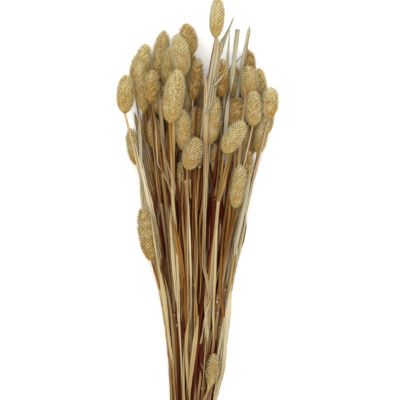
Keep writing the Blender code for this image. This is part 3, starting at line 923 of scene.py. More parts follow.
@dataclass(frozen=True)
class StrawFinish:
    """Dry straw and the papery leaf on it: streaked along its fibres, with dark joints, and with painted
    shade on steep sides and deep in the bunch.

    Grains are how many lumps, across, up and along, a metre of the fibres holds. A span is a range
    and the range that it is carried to."""

    name: str
    shade: Colour
    body: Colour
    light: Colour
    papers: Stops = (
        (0.0, (0.075, 0.007, 0.005)), (0.24, (0.24, 0.115, 0.026)), (0.48, (0.37, 0.265, 0.11)),
        (0.76, (0.46, 0.40, 0.26)), (1.0, (0.33, 0.31, 0.22)))
    furrows: Stops = ((0.38, (0.30, 0.13, 0.04)), (0.46, (0.90, 0.86, 0.78)), (0.58, WHITE))
    lines: Stops = ((0.12, (0.30, 0.17, 0.07)), (0.36, (0.84, 0.81, 0.72)), (0.6, WHITE))
    streak_grain: Triple = (1100.0, 1100.0, 12.0)
    blotch_grain: Triple = (260.0, 260.0, 22.0)
    furrow_grain: Triple = (900.0, 900.0, 6.0)
    vein_grain: Triple = (300.0, 0.0, 3.0)
    stripe_grain: Triple = (800.0, 0.0, 7.0)
    fleck_grain: Triple = (2300.0, 2300.0, 900.0)
    joint: Colour = (0.09, 0.03, 0.012)
    bloom: Colour = (0.8, 0.68, 0.45)
    # Painted shade: inner is the dark red that straws deep in the bunch turn to, and edge is the brown that
    # darkens their steep sides there. The crevice colour is the darker brown for sides that the pile hems
    # in. Blush is the straw's own colour.
    inner: Colour = (0.30, 0.035, 0.004)
    edge: Colour = (0.42, 0.19, 0.055)
    blush: Colour = (0.97, 0.82, 0.66)
    crevice_shade: Colour = (0.30, 0.09, 0.03)
    stem_places: Triple = (0.38, 0.5, 0.62)
    blotch_share: float = 0.4
    streak_share: float = 0.6
    stem_paleness: float = 0.45
    paper_paleness: float = 0.8
    vein_share: float = 0.15
    vein_waver: float = 1.2
    vein_relief: float = 0.7
    striped: Span = (0.40, 0.58, 0.0, 0.85)
    blushed: Span = (0.5, 0.66, 0.0, 0.6)
    # Painted shade spans: how steep a side is and how deep it lies set the edge darkening, and how turned
    # and how hemmed in it is set the crevice darkening. The number after them is how strongly the dark red
    # deep in the bunch is laid on.
    steep: Span = (0.15, 0.65, 0.0, 0.92)
    covered: Span = (0.0, 0.1, 0.0, 1.0)
    turned: Span = (0.08, 0.5, 0.0, 1.0)
    hemmed: Span = (0.05, 0.45, 0.0, 0.9)
    shade_strength: float = 0.97
    flecked: Span = (0.68, 0.75, 0.0, 0.55)
    jointed: Span = (0.0, 1.0, 0.0, 0.95)
    bloomed: Span = (0.0, -1.0, 0.0, 0.6)
    roughness: Span = (0.3, 0.7, 0.62, 0.85)
    gloss: float = 0.03
    relief: Pair = (0.00018, 0.7)

    def stem(self, recipe: Recipe, streak: Socket, blotch: Socket) -> Socket:
        """The colour of the bare stem.

        Args:
            recipe: the finish's nodes.
            streak: the fine streaks.
            blotch: the broad ones.

        Returns:
            The colour.
        """
        blotched = recipe.times(blotch, self.blotch_share)
        streaked = recipe.add(blotched, recipe.times(streak, self.streak_share))
        paleness = recipe.times(recipe.less(recipe.mark("tone"), 0.5), self.stem_paleness)
        stops = tuple(zip(self.stem_places, (self.shade, self.body, self.light)))
        stem = recipe.ramp(recipe.add(streaked, paleness), stops)
        furrow = recipe.noise(recipe.grain(self.furrow_grain), 2.0)
        return recipe.tint(1.0, stem, recipe.ramp(furrow, self.furrows))

    def paper(self, recipe: Recipe, vein: Socket, blotch: Socket) -> Socket:
        """The colour of leaf and sheath.

        Args:
            recipe: the finish's nodes.
            vein: the even veins.
            blotch: the broad streaks.

        Returns:
            The colour.
        """
        stripe = recipe.noise(recipe.grain(self.stripe_grain), 3.0, 0.65)
        lined = recipe.add(recipe.times(vein, self.vein_share), recipe.span(stripe, *self.striped))
        paper = recipe.ramp(recipe.times(recipe.mark("tone"), self.paper_paleness), self.papers)
        paper = recipe.tint(1.0, paper, recipe.ramp(lined, self.lines))
        return recipe.tint(recipe.span(blotch, *self.blushed), paper, self.blush)

    def shaded(self, recipe: Recipe, colour: Socket) -> Socket:
        """Painted shade: the colour darkened on steep sides that the pile hems in, and turned dark red deep
        in the bunch.

        Args:
            recipe: the finish's nodes.
            colour: the colour in the open.

        Returns:
            The new colour.
        """
        deep = recipe.mark("deep")
        # The steepness of a side is read from its normal, to paint shade on it.
        normal = recipe.made("ShaderNodeTexCoord", {}, "Normal")
        height = recipe.made("ShaderNodeSeparateXYZ", {"Vector": normal}, "Z")
        side = recipe.less(1.0, recipe.math("MAXIMUM", height, recipe.times(height, -1.0)))
        steep_side_shade = recipe.times(recipe.span(side, *self.steep), recipe.span(deep, *self.covered))
        colour = recipe.tint(steep_side_shade, colour, self.edge)
        hemmed = recipe.times(recipe.span(side, *self.turned), recipe.span(deep, *self.hemmed))
        colour = recipe.tint(hemmed, colour, self.crevice_shade)
        return recipe.tint(recipe.times(deep, self.shade_strength), colour, self.inner)

    def material(self) -> bpy.types.Material:
        """Builds the finish.

        Returns:
            Its material.
        """
        recipe = Recipe(self.name)
        leaf, dark = recipe.mark("leaf"), recipe.mark("dark")
        streak = recipe.noise(recipe.grain(self.streak_grain), 4.0)
        blotch = recipe.noise(recipe.grain(self.blotch_grain), 2.0)
        vein = recipe.made("ShaderNodeTexWave", {
            "Vector": recipe.grain(self.vein_grain), "Scale": 1.0, "Distortion": self.vein_waver}, "Fac",
            wave_type="BANDS", bands_direction="X")
        colour = recipe.mix(leaf, self.stem(recipe, streak, blotch), self.paper(recipe, vein, blotch))
        colour = self.shaded(recipe, colour)
        fleck = recipe.noise(recipe.grain(self.fleck_grain), 1.0)
        colour = recipe.mix(recipe.span(fleck, *self.flecked), colour, self.shade)
        colour = recipe.mix(recipe.span(dark, *self.jointed), colour, self.joint)
        colour = recipe.mix(recipe.span(dark, *self.bloomed), colour, self.bloom)
        veined = recipe.times(recipe.times(vein, leaf), self.vein_relief)
        recipe.bump(recipe.add(streak, veined), *self.relief)
        return recipe.finish(Base_Color=colour, Roughness=recipe.span(streak, *self.roughness),
                             Specular_IOR_Level=self.gloss)


@dataclass(frozen=True)
class ScaleFinish:
    """The scales of a seed head: dark at the root, partly their own colour and partly painted shade in the
    gaps between them, golden in the middle, pale at the tip. Deep in the bunch they are turned amber as
    painted shade.

    Each scale has a darker stripe on either side of its keel: stripe_place is how far from the
    keel the stripe lies, and stripe_half is half its width."""

    name: str
    # The root colour: partly the scales' own and partly painted shade in the gaps between them.
    root_and_gap_shade: Colour
    flank: Colour
    face: Colour
    tip: Colour
    stripe: Colour = (0.42, 0.30, 0.12)
    stripe_place: float = 0.00045
    stripe_half: float = 0.00028
    stripe_share: float = 0.16
    places: tuple[float, ...] = (0.22, 0.45, 0.72, 1.0)
    raggedness: float = 0.3
    patchy: Span = (0.3, 0.7, -0.35, 0.35)
    footed: Span = (0.0, 0.6, 0.9, 0.0)
    bloomed: Span = (0.5, 0.68, 0.0, 0.35)
    # Painted shade: how strongly, and to which amber, scales deep in the bunch are turned.
    shade_strength: float = 0.75
    inner: Colour = (0.90, 0.47, 0.10)
    foot: Colour = (0.86, 0.68, 0.40)
    warmth: Stops = (
        (0.0, (0.62, 0.43, 0.22)), (0.35, (0.90, 0.78, 0.56)), (0.65, (1.0, 0.97, 0.88)), (1.0, WHITE))
    fibre_grain: Triple = (2600.0, 500.0, 1.0)
    patches: float = 160.0
    roughness: Span = (0.3, 0.7, 0.55, 0.8)
    gloss: float = 0.1
    relief: Pair = (0.00015, 0.5)
    glow: float = 0.3
    glow_reach: float = 0.002
    glow_colour: Colour = (1.0, 0.75, 0.4)

    def material(self) -> bpy.types.Material:
        """Builds the finish.

        Returns:
            Its material.
        """
        recipe = Recipe(self.name)
        tone, deep, along, rise = (recipe.mark(key) for key in ("tone", "deep", "dark", "leaf"))
        fibre = recipe.noise(recipe.grain(self.fibre_grain), 3.0)
        place = recipe.add(along, recipe.times(recipe.less(fibre, 0.5), self.raggedness))
        colours = (self.root_and_gap_shade, self.flank, self.face, self.tip)
        colour = recipe.ramp(place, tuple(zip(self.places, colours)))
        aside = recipe.made("ShaderNodeSeparateXYZ", {"Vector": recipe.grain((1.0, 1.0, 1.0))}, "X")
        off_stripe = recipe.math("ABSOLUTE", recipe.less(recipe.math("ABSOLUTE", aside), self.stripe_place))
        striped = recipe.span(off_stripe, 0.0, self.stripe_half, self.stripe_share, 0.0)
        colour = recipe.mix(striped, colour, self.stripe)
        colour = recipe.tint(1.0, colour, recipe.ramp(tone, self.warmth))
        patch = recipe.lumps(self.patches)
        low = recipe.add(rise, recipe.span(patch, *self.patchy))
        colour = recipe.tint(recipe.span(low, *self.footed), colour, self.foot)
        colour = recipe.tint(recipe.times(deep, self.shade_strength), colour, self.inner)
        bloom = recipe.times(recipe.span(patch, *self.bloomed), rise)
        colour = recipe.mix(bloom, colour, self.tip)
        recipe.bump(fibre, *self.relief)
        return recipe.finish(
            Base_Color=colour, Roughness=recipe.span(fibre, *self.roughness),
            Specular_IOR_Level=self.gloss, Subsurface_Weight=self.glow,
            Subsurface_Radius=self.glow_colour, Subsurface_Scale=self.glow_reach)


@dataclass(frozen=True)
class RubberFinish:
    """Natural rubber, dulled by dust."""

    name: str = "rubber"
    dust_grain: Triple = (900.0, 900.0, 900.0)
    colours: Stops = ((0.3, (0.40, 0.26, 0.12)), (0.55, (0.56, 0.40, 0.21)), (0.8, (0.66, 0.52, 0.33)))
    roughness: Span = (0.3, 0.7, 0.5, 0.7)
    relief: Pair = (0.0002, 0.4)

    def material(self) -> bpy.types.Material:
        """Builds the finish.

        Returns:
            Its material.
        """
        recipe = Recipe(self.name)
        dust = recipe.noise(recipe.grain(self.dust_grain), 4.0)
        recipe.bump(dust, *self.relief)
        return recipe.finish(Base_Color=recipe.ramp(dust, self.colours),
                             Roughness=recipe.span(dust, *self.roughness))


@dataclass(frozen=True)
class FloorFinish:
    """A matt white studio floor with a faint tooth."""

    name: str = "floor"
    tooth: float = 300.0
    colours: Stops = ((0.3, (0.93, 0.93, 0.925)), (0.7, (0.96, 0.96, 0.955)))
    roughness: float = 0.9
    gloss: float = 0.1

    def material(self) -> bpy.types.Material:
        """Builds the finish.

        Returns:
            Its material.
        """
        recipe = Recipe(self.name)
        return recipe.finish(Base_Color=recipe.ramp(recipe.lumps(self.tooth), self.colours),
                             Roughness=self.roughness, Specular_IOR_Level=self.gloss)


@dataclass
class Sweep:
    """A body drawn along a path: a closed outline at every place along it.

    Sides and ups are the ways across the path in which each outline is laid out."""

    middles: Vec
    sides: Vec
    ups: Vec

    @classmethod
    def level(cls, middles: Vec) -> "Sweep":
        """A path whose sections keep one side level.

        Args:
            middles: the points on its middle line.

        Returns:
            The path.
        """
        ahead = unit(np.gradient(middles, axis=0))
        sides = unit(np.cross(ahead, UP))
        return cls(middles, sides, np.cross(sides, ahead))

    def body(self, across: Vec, up: Vec) -> tuple[Vec, list[Vec]]:
        """The closed body for outlines given at every place of the path.

        Args:
            across: places along sides, a row for each place of the path.
            up: places along ups, likewise.

        Returns:
            Points and blocks of faces, outward.
        """
        places, corners = across.shape
        points = (self.middles[:, None] + across[..., None] * self.sides[:, None]
                  + up[..., None] * self.ups[:, None]).reshape(-1, 3)
        rows = np.arange(places - 1)[:, None] * corners
        walls = ring_walls(rows, rows + corners, corners)
        start = np.arange(corners)[::-1][None]
        end = (np.arange(corners) + (places - 1) * corners)[None]
        return points, [walls[:, ::-1], start[:, ::-1], end[:, ::-1]]


@dataclass
class Straw:
    """A culm's straw: its ribbed stem with joints, its sheaths, and the leaves that grow on it.

    Its radii are those at the foot, near the neck and at the neck. Ridges, groove and rings are
    humps beside a joint, in millimetres from it. Rolls are the radii of a sheath's inner and outer
    edge. The painted red-brown shade deep in the bunch fades along it: its field holds places along
    the bunch and how much of that painted shade is left there."""

    plan: CulmPlan
    girth: Girth
    heap: Heap
    straps: list[Strap]
    shown: list[float]
    sides: int = 12
    step: float = 7 * MM
    least_step: float = 0.25 * MM
    joint_steps: tuple[float, ...] = (-3.2, -2.0, -1.2, -0.5, 0.3, 1.1, 2.0, 3.2)
    radii: Triple = (1.0 * MM, 0.95 * MM, 0.8 * MM)
    ribs: int = 6
    rib_height: float = 0.035
    ridges: tuple[Triple, ...] = ((0.30, -1.1, 0.8), (0.22, 1.2, 1.0))
    groove: Triple = (0.10, 0.2, 0.4)
    into_head: float = 2 * MM
    last_joint: float = 6 * MM
    dark_ring: Triple = (1.0, 0.3, 0.75)
    pale_ring: Triple = (0.7, -1.4, 0.7)
    rolls: Pair = (1.18 * MM, 1.44 * MM)
    sheath_start: float = 0.6 * MM
    sheath_cut: float = 4 * MM
    sheath_foot: float = 1.2 * MM
    sheath_mouth: float = 4 * MM
    sheath_lip: float = 1.5 * MM
    sheath_ends: tuple[float, ...] = (0.86, 1.0, 1.0, 0.84)
    sheath_stain: float = 3 * MM
    sheath_shades: tuple[float, ...] = (0.35, 0.0, 0.0, -0.35)
    sheath_leaf: float = 0.75
    sheath_tone: Pair = (0.3, 0.7)
    seam_sway: float = 0.9
    seam_rate: float = 18
    lower_joints: Pair = (-232 * MM, -150 * MM)
    joint_span: float = 190 * MM
    joint_shift: float = 15
    deepness: Pair = (0.4, 1.6)
    # Painted shade: how much of it is left at places along the bunch.
    painted_shade_left: tuple[tuple[float, ...], tuple[float, ...]] = (
        (-105 * MM, -60 * MM, 20 * MM, 120 * MM), (0.5, 1.25, 1.0, 0.3))
    grain_spread: Triple = (0.02, 0.02, 2.0)
    floor_gap: float = 0.05 * MM
    tones: Pair = (0.5, 0.2)
    tone_limits: Pair = (0.05, 0.95)
    seed: int = 7000
    draft: Draft = field(default_factory=Draft)

    def __post_init__(self) -> None:
        """Gives the culm its own run of chance, its tone and its place in the grain."""
        self.chance = np.random.default_rng(self.seed + self.plan.number)
        tone = float(np.clip(self.chance.normal(*self.tones), *self.tone_limits))
        self.tone = STRAW_TONES.get(self.plan.number, tone)
        self.shift = self.chance.uniform(-1, 1, 3)

    def about(self, limit: float) -> float:
        """A chance number between the limit and its opposite."""
        return self.chance.uniform(-limit, limit)

    def marks(self, points: Vec, corners: int) -> dict[str, Vec | float]:
        """The marks that hold for every part of this straw.

        Args:
            points: the corners of a body swept along it.
            corners: how many corners each of its outlines has.

        Returns:
            The tone, and how much painted shade each corner takes from lying deep in the bunch.
        """
        by_girth, by_heap = self.deepness
        hemmed = self.heap.enclosed(points, corners)
        deep = np.clip(by_girth * self.girth.depth(points) + by_heap * hemmed, 0, 1)
        left = np.interp(points[:, 1], *self.painted_shade_left)
        return {"tone": self.tone, "deep": np.clip(deep * left, 0, 1)}

    def joints(self) -> list[float]:
        """The places of this straw's joints.

        Returns:
            Places along the bunch: its own from the lowest up, and those that the photo shows.
        """
        low = float(self.chance.uniform(*self.lower_joints))
        if self.plan.joint is None:
            return [low, float(self.plan.rings[-2, 0]) - self.last_joint] + self.shown
        found = [low]
        if self.plan.joint - low > self.joint_span:
            found.append((self.plan.joint + low) / 2 + float(self.about(self.joint_shift)) * MM)
        return found + [self.plan.joint] + self.shown

    def stations(self, first: float, last: float, marks: list[float]) -> Vec:
        """Places along the straw, close together at the marks.

        Args:
            first: the first place.
            last: the last one.
            marks: the places of the marks.

        Returns:
            The places.
        """
        near = np.array(self.joint_steps) * MM
        places = [np.arange(first, last, self.step), [last]] + [mark + near for mark in marks]
        rows = np.unique(np.round(np.concatenate(places), SolidReader.PLACE_DIGITS))
        rows = rows[(rows >= first) & (rows <= last)]
        return rows[np.concatenate([[True], np.diff(rows) > self.least_step])]

    def build_stem(self) -> None:
        """The stem from the cut end to the neck, as one ribbed body."""
        plan, joints = self.plan, self.joints()
        along = self.stations(plan.foot, plan.neck + self.into_head, joints)
        radius = np.interp(along, [along[0], plan.rings[-2, 0], along[-1]], self.radii)
        dark = np.zeros(len(along))
        for joint in joints:
            off = (along - joint) / MM
            radius += hump(off, self.ridges[0], MM) + hump(off, self.ridges[1], MM)
            radius -= hump(off, self.groove, MM)
            dark += hump(off, self.dark_ring) - hump(off, self.pale_ring)
        angles = ring_angles(self.sides)
        rib = 1 + self.rib_height * np.cos(angles * self.ribs)
        across = radius[:, None] * rib * np.cos(angles)
        up = radius[:, None] * rib * np.sin(angles)
        sweep = Sweep.level(plan.middle(along))
        self.add_swept(sweep, across, up, along, dark=np.clip(dark, -1, 1), leaf=0.0)

    def add_swept(self, sweep: Sweep, across: Vec, up: Vec, along: Vec, **marks: Vec | float) -> None:
        """Takes a swept body into the draft, with its fibres along it.

        Args:
            sweep: the path.
            across: the outlines' places along the path's sides.
            up: the outlines' places along its ups.
            along: how far along its own length each outline is.
            marks: marks for each outline, or one for all.
        """
        points, faces = sweep.body(across, up)
        corners = across.shape[1]
        grain = np.column_stack([across.ravel(), up.ravel(), np.repeat(along, corners)])
        grain = grain + self.shift * self.grain_spread
        spread = {key: np.repeat(value, corners) if isinstance(value, np.ndarray) else value
                  for key, value in marks.items()}
        points[:, 2] = np.maximum(points[:, 2], self.floor_gap)
        self.draft.add(points, faces, grain, **{**self.marks(points, corners), **spread})

    def build_sheaths(self) -> None:
        """The leaf sheath above the joint, and the one that wraps the straw's lower end, if it has one."""
        rings, joint = self.plan.rings, self.plan.joint
        if joint is not None:
            self.wrap(joint + self.sheath_start, self.plan.ligule + self.sheath_lip)
        thick = rings[:, 3] > SolidReader.SHEATH
        if thick[0]:
            end = next((row for row in range(len(rings)) if not thick[row]), len(rings))
            self.wrap(self.plan.foot + self.sheath_cut, rings[end - 1, 0] + self.sheath_cut)

    def wrap(self, first: float, last: float) -> None:
        """A sheath rolled round the straw, one edge over the other.

        Args:
            first: where it starts along the bunch.
            last: where its mouth is.
        """
        foot, mouth, lip = first + self.sheath_foot, last - self.sheath_mouth, last - self.sheath_lip
        along = np.unique(np.concatenate([self.stations(first, last, []), [foot, mouth, lip]]))
        sway = self.seam_sway * np.sin((along - first) * self.seam_rate)
        seam = self.chance.uniform(0, 2 * math.pi) + sway
        inner, outer = self.rolls
        roll = inner + (outer - inner) * np.arange(self.sides) / (self.sides - 1)
        radius = roll * np.interp(along, [first, foot, mouth, last], self.sheath_ends)[:, None]
        turned = seam[:, None] + ring_angles(self.sides)
        dark = np.interp(along, [first, first + self.sheath_stain, mouth, last], self.sheath_shades)
        least, share = self.sheath_tone
        sweep = Sweep.level(self.plan.middle(along))
        self.add_swept(sweep, radius * np.cos(turned), radius * np.sin(turned), along, dark=dark,
                       leaf=self.sheath_leaf, tone=least + share * self.tone)

    def build(self) -> bpy.types.Object:
        """Builds the whole straw.

        Returns:
            Its piece.
        """
        self.build_stem()
        self.build_sheaths()
        # The dark leaf deep between the straws is painted shade.
        for kind in (OwnBlade, LyingStraps, LowLeaves, PaintedShadeLeaf, Peelings, Fibres):
            kind().grow(self)
        return self.draft.to_piece(f"{self.plan.name}_straw", FINISHES[self.plan.tone][0], True)


# How each form of tip narrows: over which share of the blade, to what share of its width, and
# the power that rounds it.
TIP_TAPERS = {POINTED: (0.3, 0.04, 0.8), SPLIT: (0.45, 0.03, 1.0), ROUNDED: (0.06, 0.02, 0.5)}


@dataclass
class LeafBlade:
    """A thin dry blade through knots, each with its way across and its width.

    Wavers are rows of how much the width wavers and how often in a metre. A split blade has tails
    from tail_start on, a share of its width wide."""

    knots: Vec
    ways: Vec
    widths: Vec
    form: TipForm
    fold: float = 0.32
    thickness: float = 0.3 * MM
    step: float = 3.5 * MM
    columns: int = 5
    tone: float | None = None
    least: int = 6
    wavers: tuple[Pair, ...] = ((0.07, 190), (0.05, 520))
    fold_range: Pair = (0.6, 1.6)
    tail_start: float = 0.55
    tail_spread: Pair = (0.6, 1.5)
    tail_width: float = 0.3
    tail_least: float = 0.05
    tail_fold: float = 0.1
    curl: float = 0.35

    def grow(self, straw: Straw) -> None:
        """Adds the blade to the straw that bears it.

        Args:
            straw: that straw.
        """
        reach = distances(self.knots)
        length = reach[-1]
        along = np.linspace(0, length, max(self.least, int(length / self.step)))
        middles = eased(reach, self.knots, along)
        ways = unit(eased(reach, self.ways, along))
        kept = len(reach) - 1 if self.widths[-1] == 0.0 else len(reach)
        widths = np.interp(along, reach[:kept], self.widths[:kept])
        share = along / length
        chance = straw.chance
        waver = 1
        for height, rate in self.wavers:
            waver = waver + height * np.sin(along * rate + chance.uniform(*PHASE))
        fold = self.fold * chance.uniform(*self.fold_range)
        self.strip(straw, along, middles, ways, widths * self.taper(share) * waver, fold)
        if self.form is SPLIT:
            tail = share > self.tail_start
            widest = self.widths[:-1].max()
            narrowed = np.clip((1 - share[tail]) / self.tail_width, self.tail_least, 1)
            for side in (-1, 1):
                apart = (share[tail] - self.tail_start) * widest * chance.uniform(*self.tail_spread) * side
                shifted = middles[tail] + ways[tail] * apart[:, None]
                thin = widths[tail] * self.tail_width * narrowed
                self.strip(straw, along[tail], shifted, ways[tail], thin, self.tail_fold)

    def taper(self, share: Vec) -> Vec:
        """How the blade narrows towards its tip.

        Args:
            share: places along it, as shares of its length.

        Returns:
            A share of its width for each place.
        """
        if self.form is SQUARE:
            return np.ones(len(share))
        over, least, power = TIP_TAPERS[self.form]
        return np.clip((1 - share) / over, least, 1) ** power

    def strip(self, straw: Straw, along: Vec, middles: Vec, ways: Vec, widths: Vec, fold: float) -> None:
        """Adds one strip of leaf, folded along its midrib.

        Args:
            straw: the straw that bears it.
            along: how far along the blade each section is.
            middles: the sections' middles.
            ways: the ways across.
            widths: the widths.
            fold: the fold's angle in radians.
        """
        ahead = unit(np.gradient(middles, axis=0))
        sides = unit(ways - (ways * ahead).sum(axis=1, keepdims=True) * ahead)
        sweep = Sweep(middles, sides, np.cross(sides, ahead))
        half = np.linspace(-1, 1, self.columns)
        reach = widths[:, None] / 2
        top_x = reach * half * math.cos(fold)
        top_z = reach * np.abs(half) * math.sin(fold) - self.curl * half**4 * reach
        across = np.concatenate([top_x, top_x[:, ::-1]], axis=1)
        up = np.concatenate([top_z + self.thickness / 2, top_z[:, ::-1] - self.thickness / 2], axis=1)
        tone = straw.tone if self.tone is None else self.tone
        straw.add_swept(sweep, across[:, ::-1], up[:, ::-1], along, leaf=1.0, tone=tone)


@dataclass(frozen=True)
class OwnBlade:
    """The dry blade that the culm's solid has, from the mouth of the sheath to its tip.

    A blade that stands out is turned towards level. The others end by these chances of each form."""

    below: float = 5 * MM
    above: float = 1 * MM
    root_widths: Pair = (2.4 * MM, 2.8 * MM)
    turned: float = 0.35
    levelled: float = 0.65
    chances: tuple[float, ...] = (0.5, 0.25, 0.1, 0.15)

    def grow(self, straw: Straw) -> None:
        """Adds the blade, where the culm has one.

        Args:
            straw: the straw that bears it.
        """
        plan, number = straw.plan, straw.plan.number
        blade = plan.blade
        if blade is None or plan.ligule is None:
            return
        root = plan.middle(np.array([plan.ligule - self.below, plan.ligule + self.above]))
        knots = np.concatenate([root, blade.middles, blade.tip[None]])
        sides, start = blade.sides, blade.sides[0]
        if number in BLADE_TIPS:
            level = np.sign(sides[:, :1] + SMALL) * (1.0, 0.0, 0.0)
            sides = unit(self.turned * sides + self.levelled * level)
            start = sides[0]
        ways = np.concatenate([[start, start], sides, sides[-1:]])
        widths = np.concatenate([self.root_widths, blade.widths, [0.0]])
        form = BLADE_TIPS.get(number) or list(TipForm)[straw.chance.choice(4, p=self.chances)]
        LeafBlade(knots, ways, widths, form, tone=BLADE_TONES.get(number)).grow(straw)


@dataclass(frozen=True)
class LyingStraps:
    """The leaves of a culm that lie on top of the pile."""

    step: float = 5 * MM
    least: int = 8
    highest_over: int = 5
    smoothed_over: int = 7
    lift: float = 0.5 * MM
    root: float = 28 * MM
    root_power: float = 1.5
    sway: float = 0.25
    sway_rate: float = 5
    tone_shift: float = 9
    twist_rate: float = 9
    run_places: tuple[float, ...] = (0, 0.08, 0.8, 1)
    run_widths: tuple[float, ...] = (0.5, 1.0, 1.0, 0.85)
    fold: float = 0.25

    @staticmethod
    def windows(height: Vec, size: int) -> list[Vec]:
        """The heights beside each place, with the ends held.

        Args:
            height: a height for each place.
            size: how many neighbours count, an odd number.

        Returns:
            A row of heights for each neighbour.
        """
        pad = size // 2
        padded = np.concatenate([[height[0]] * pad, height, [height[-1]] * pad])
        return [padded[k:k + len(height)] for k in range(size)]

    def grow(self, straw: Straw) -> None:
        """Adds all the straps that grow on the straw.

        Args:
            straw: that straw.
        """
        for strap in straw.straps:
            way = np.array(strap.way) * MM
            reach = distances(way)
            steps = np.linspace(0, reach[-1], max(self.least, int(reach[-1] / self.step)))
            flat = eased(reach, way, steps)
            height = straw.heap.top(flat, strap.width / 2 * MM)
            held = np.max(self.windows(height, self.highest_over), axis=0)
            held = np.mean(self.windows(held, self.smoothed_over), axis=0) + self.lift
            on_straw = straw.plan.middle(flat[:, 1])
            rise = np.clip((steps / self.root), 0, 1)[:, None] ** self.root_power
            points = on_straw * (1 - rise) + np.column_stack([flat, held]) * rise
            run = np.linspace(0, 1, len(points))
            turn = (self.sway * np.sin(run * self.sway_rate + strap.tone * self.tone_shift)
                    + strap.turn * np.sin(run * self.twist_rate + strap.width) ** 3)
            widths = np.interp(run, self.run_places, self.run_widths) * strap.width * MM
            widths *= 1 + strap.swell * np.sin(math.pi * run) ** 4
            LeafBlade(points, tilted(turn), widths, strap.form, fold=self.fold, tone=strap.tone).grow(straw)


@dataclass(frozen=True)
class LowLeaves:
    """The leaves of the lower joints, dried to straps that lie between the straws.

    Lengths, asides, rises and widths are ranges in millimetres."""

    count: int = 3
    foot_gap: float = 10 * MM
    neck_gap: float = 30 * MM
    top_gap: float = 60 * MM
    overshoot: float = 20 * MM
    shortest: float = 40 * MM
    length: Pair = (90, 200)
    places: int = 24
    aside: Pair = (3.0, 9.0)
    rise: float = 5.0
    sway_rate: Pair = (2, 6)
    quickness: float = 3
    aside_sway: Pair = (0.75, 0.35)
    rise_sway: Pair = (0.8, 0.4)
    inside: float = 0.72
    lowest: float = 1.2 * MM
    fewest: int = 8
    turn: float = 0.7
    twist: float = 1.1
    root_width: float = 1.6 * MM
    root_share: float = 1.6
    root_reach: float = 0.06
    width: Pair = (1.6, 3.4)
    chances: tuple[float, ...] = (0.55, 0.3, 0.05, 0.1)
    step: float = 5 * MM
    palest: float = 0.75

    def grow(self, straw: Straw) -> None:
        """Adds the leaves, spread over the straw's length.

        Args:
            straw: the straw that bears them.
        """
        plan, chance = straw.plan, straw.chance
        low, high = plan.foot + self.foot_gap, plan.neck - self.neck_gap
        for share in (np.arange(self.count) + chance.uniform(0, 1, self.count)) / self.count:
            first = low + share * (high - self.top_gap - low)
            last = min(first + chance.uniform(*self.length) * MM, high + self.overshoot)
            if last - first >= self.shortest:
                self.grow_one(straw, first, last, high)

    def grow_one(self, straw: Straw, first: float, last: float, high: float) -> None:
        """Adds one leaf, as far as it grows before it meets a head.

        Args:
            straw: the straw that bears it.
            first: where it starts along the bunch.
            last: where it ends.
            high: the place above which it leaves the straw's own way.
        """
        chance = straw.chance
        along = np.linspace(first, last, self.places)
        run = (along - first) / (last - first)
        points = straw.plan.middle(np.minimum(along, high))
        points[:, 1] = along
        aside = chance.uniform(*self.aside) * chance.choice([-1, 1]) * MM
        rise = straw.about(self.rise) * MM
        sway = np.sin(run * chance.uniform(*self.sway_rate) + chance.uniform(*PHASE))
        away = np.minimum(run * self.quickness, 1)
        points[:, 0] += away * aside * (self.aside_sway[0] + self.aside_sway[1] * sway)
        points[:, 2] += away * rise * (self.rise_sway[0] + self.rise_sway[1] * sway)
        points = straw.girth.inside(points, self.inside)
        points[:, 2] = np.maximum(points[:, 2], self.lowest)
        free = straw.heap.clear(points)
        if free < self.fewest:
            return
        points, run = points[:free], run[:free]
        turn = straw.about(self.turn) + straw.about(self.twist) * run
        shares = np.interp(run, [0, self.root_reach, 1], [self.root_share, 1.0, 1.0])
        widths = shares * chance.uniform(*self.width) * MM
        widths[0] = self.root_width
        form = list(TipForm)[chance.choice(4, p=self.chances)]
        tone = float(chance.uniform(0, self.palest))
        LeafBlade(points, tilted(turn), widths, form, step=self.step, tone=tone).grow(straw)


@dataclass(frozen=True)
class PaintedShadeLeaf:
    """A broad dead leaf laid deep between the straws, dark red-brown as painted shade there.

    Starts, lengths and widths are ranges in millimetres."""

    top: float = 200 * MM
    neck_gap: float = 8 * MM
    foot_gap: float = 40 * MM
    start: Pair = (-150, 20)
    length: Pair = (160, 260)
    shortest: float = 50 * MM
    spacing: float = 6 * MM
    draw: float = 0.4
    quickness: float = 4
    sway: float = 0.14
    sway_rate: Pair = (3, 8)
    lowest: float = 1.5 * MM
    fewest: int = 8
    turn: float = 0.5
    run_places: Triple = (0, 0.08, 1)
    run_widths: Triple = (0.5, 1.0, 1.0)
    width: Pair = (3.0, 5.2)
    step: float = 7 * MM
    palest: float = 0.08

    def grow(self, straw: Straw) -> None:
        """Adds the leaf, as far as it grows before it meets a head.

        Args:
            straw: the straw that bears it.
        """
        plan, chance = straw.plan, straw.chance
        high = min(plan.neck - self.neck_gap, self.top)
        first = max(chance.uniform(*self.start) * MM, plan.foot + self.foot_gap)
        last = min(first + chance.uniform(*self.length) * MM, high)
        if last - first < self.shortest:
            return
        along = np.linspace(first, last, int((last - first) / self.spacing))
        run = (along - first) / (last - first)
        points = plan.middle(along)
        middle, half = straw.girth.section(along)
        away = np.minimum(run * self.quickness, 1)
        points[:, [0, 2]] += (self.draw * away)[:, None] * (middle - points[:, [0, 2]])
        sway = np.stack([np.sin(run * chance.uniform(*self.sway_rate) + chance.uniform(*PHASE))
                         for _ in range(2)], axis=1)
        points[:, [0, 2]] += self.sway * half * sway * away[:, None]
        points[:, 2] = np.maximum(points[:, 2], self.lowest)
        free = straw.heap.clear(points)
        if free < self.fewest:
            return
        turn = straw.about(self.turn) + straw.about(self.turn) * run[:free]
        shares = np.interp(run[:free], self.run_places, self.run_widths)
        widths = shares * chance.uniform(*self.width) * MM
        LeafBlade(points[:free], tilted(turn), widths, POINTED, step=self.step,
                  tone=float(chance.uniform(0, self.palest))).grow(straw)


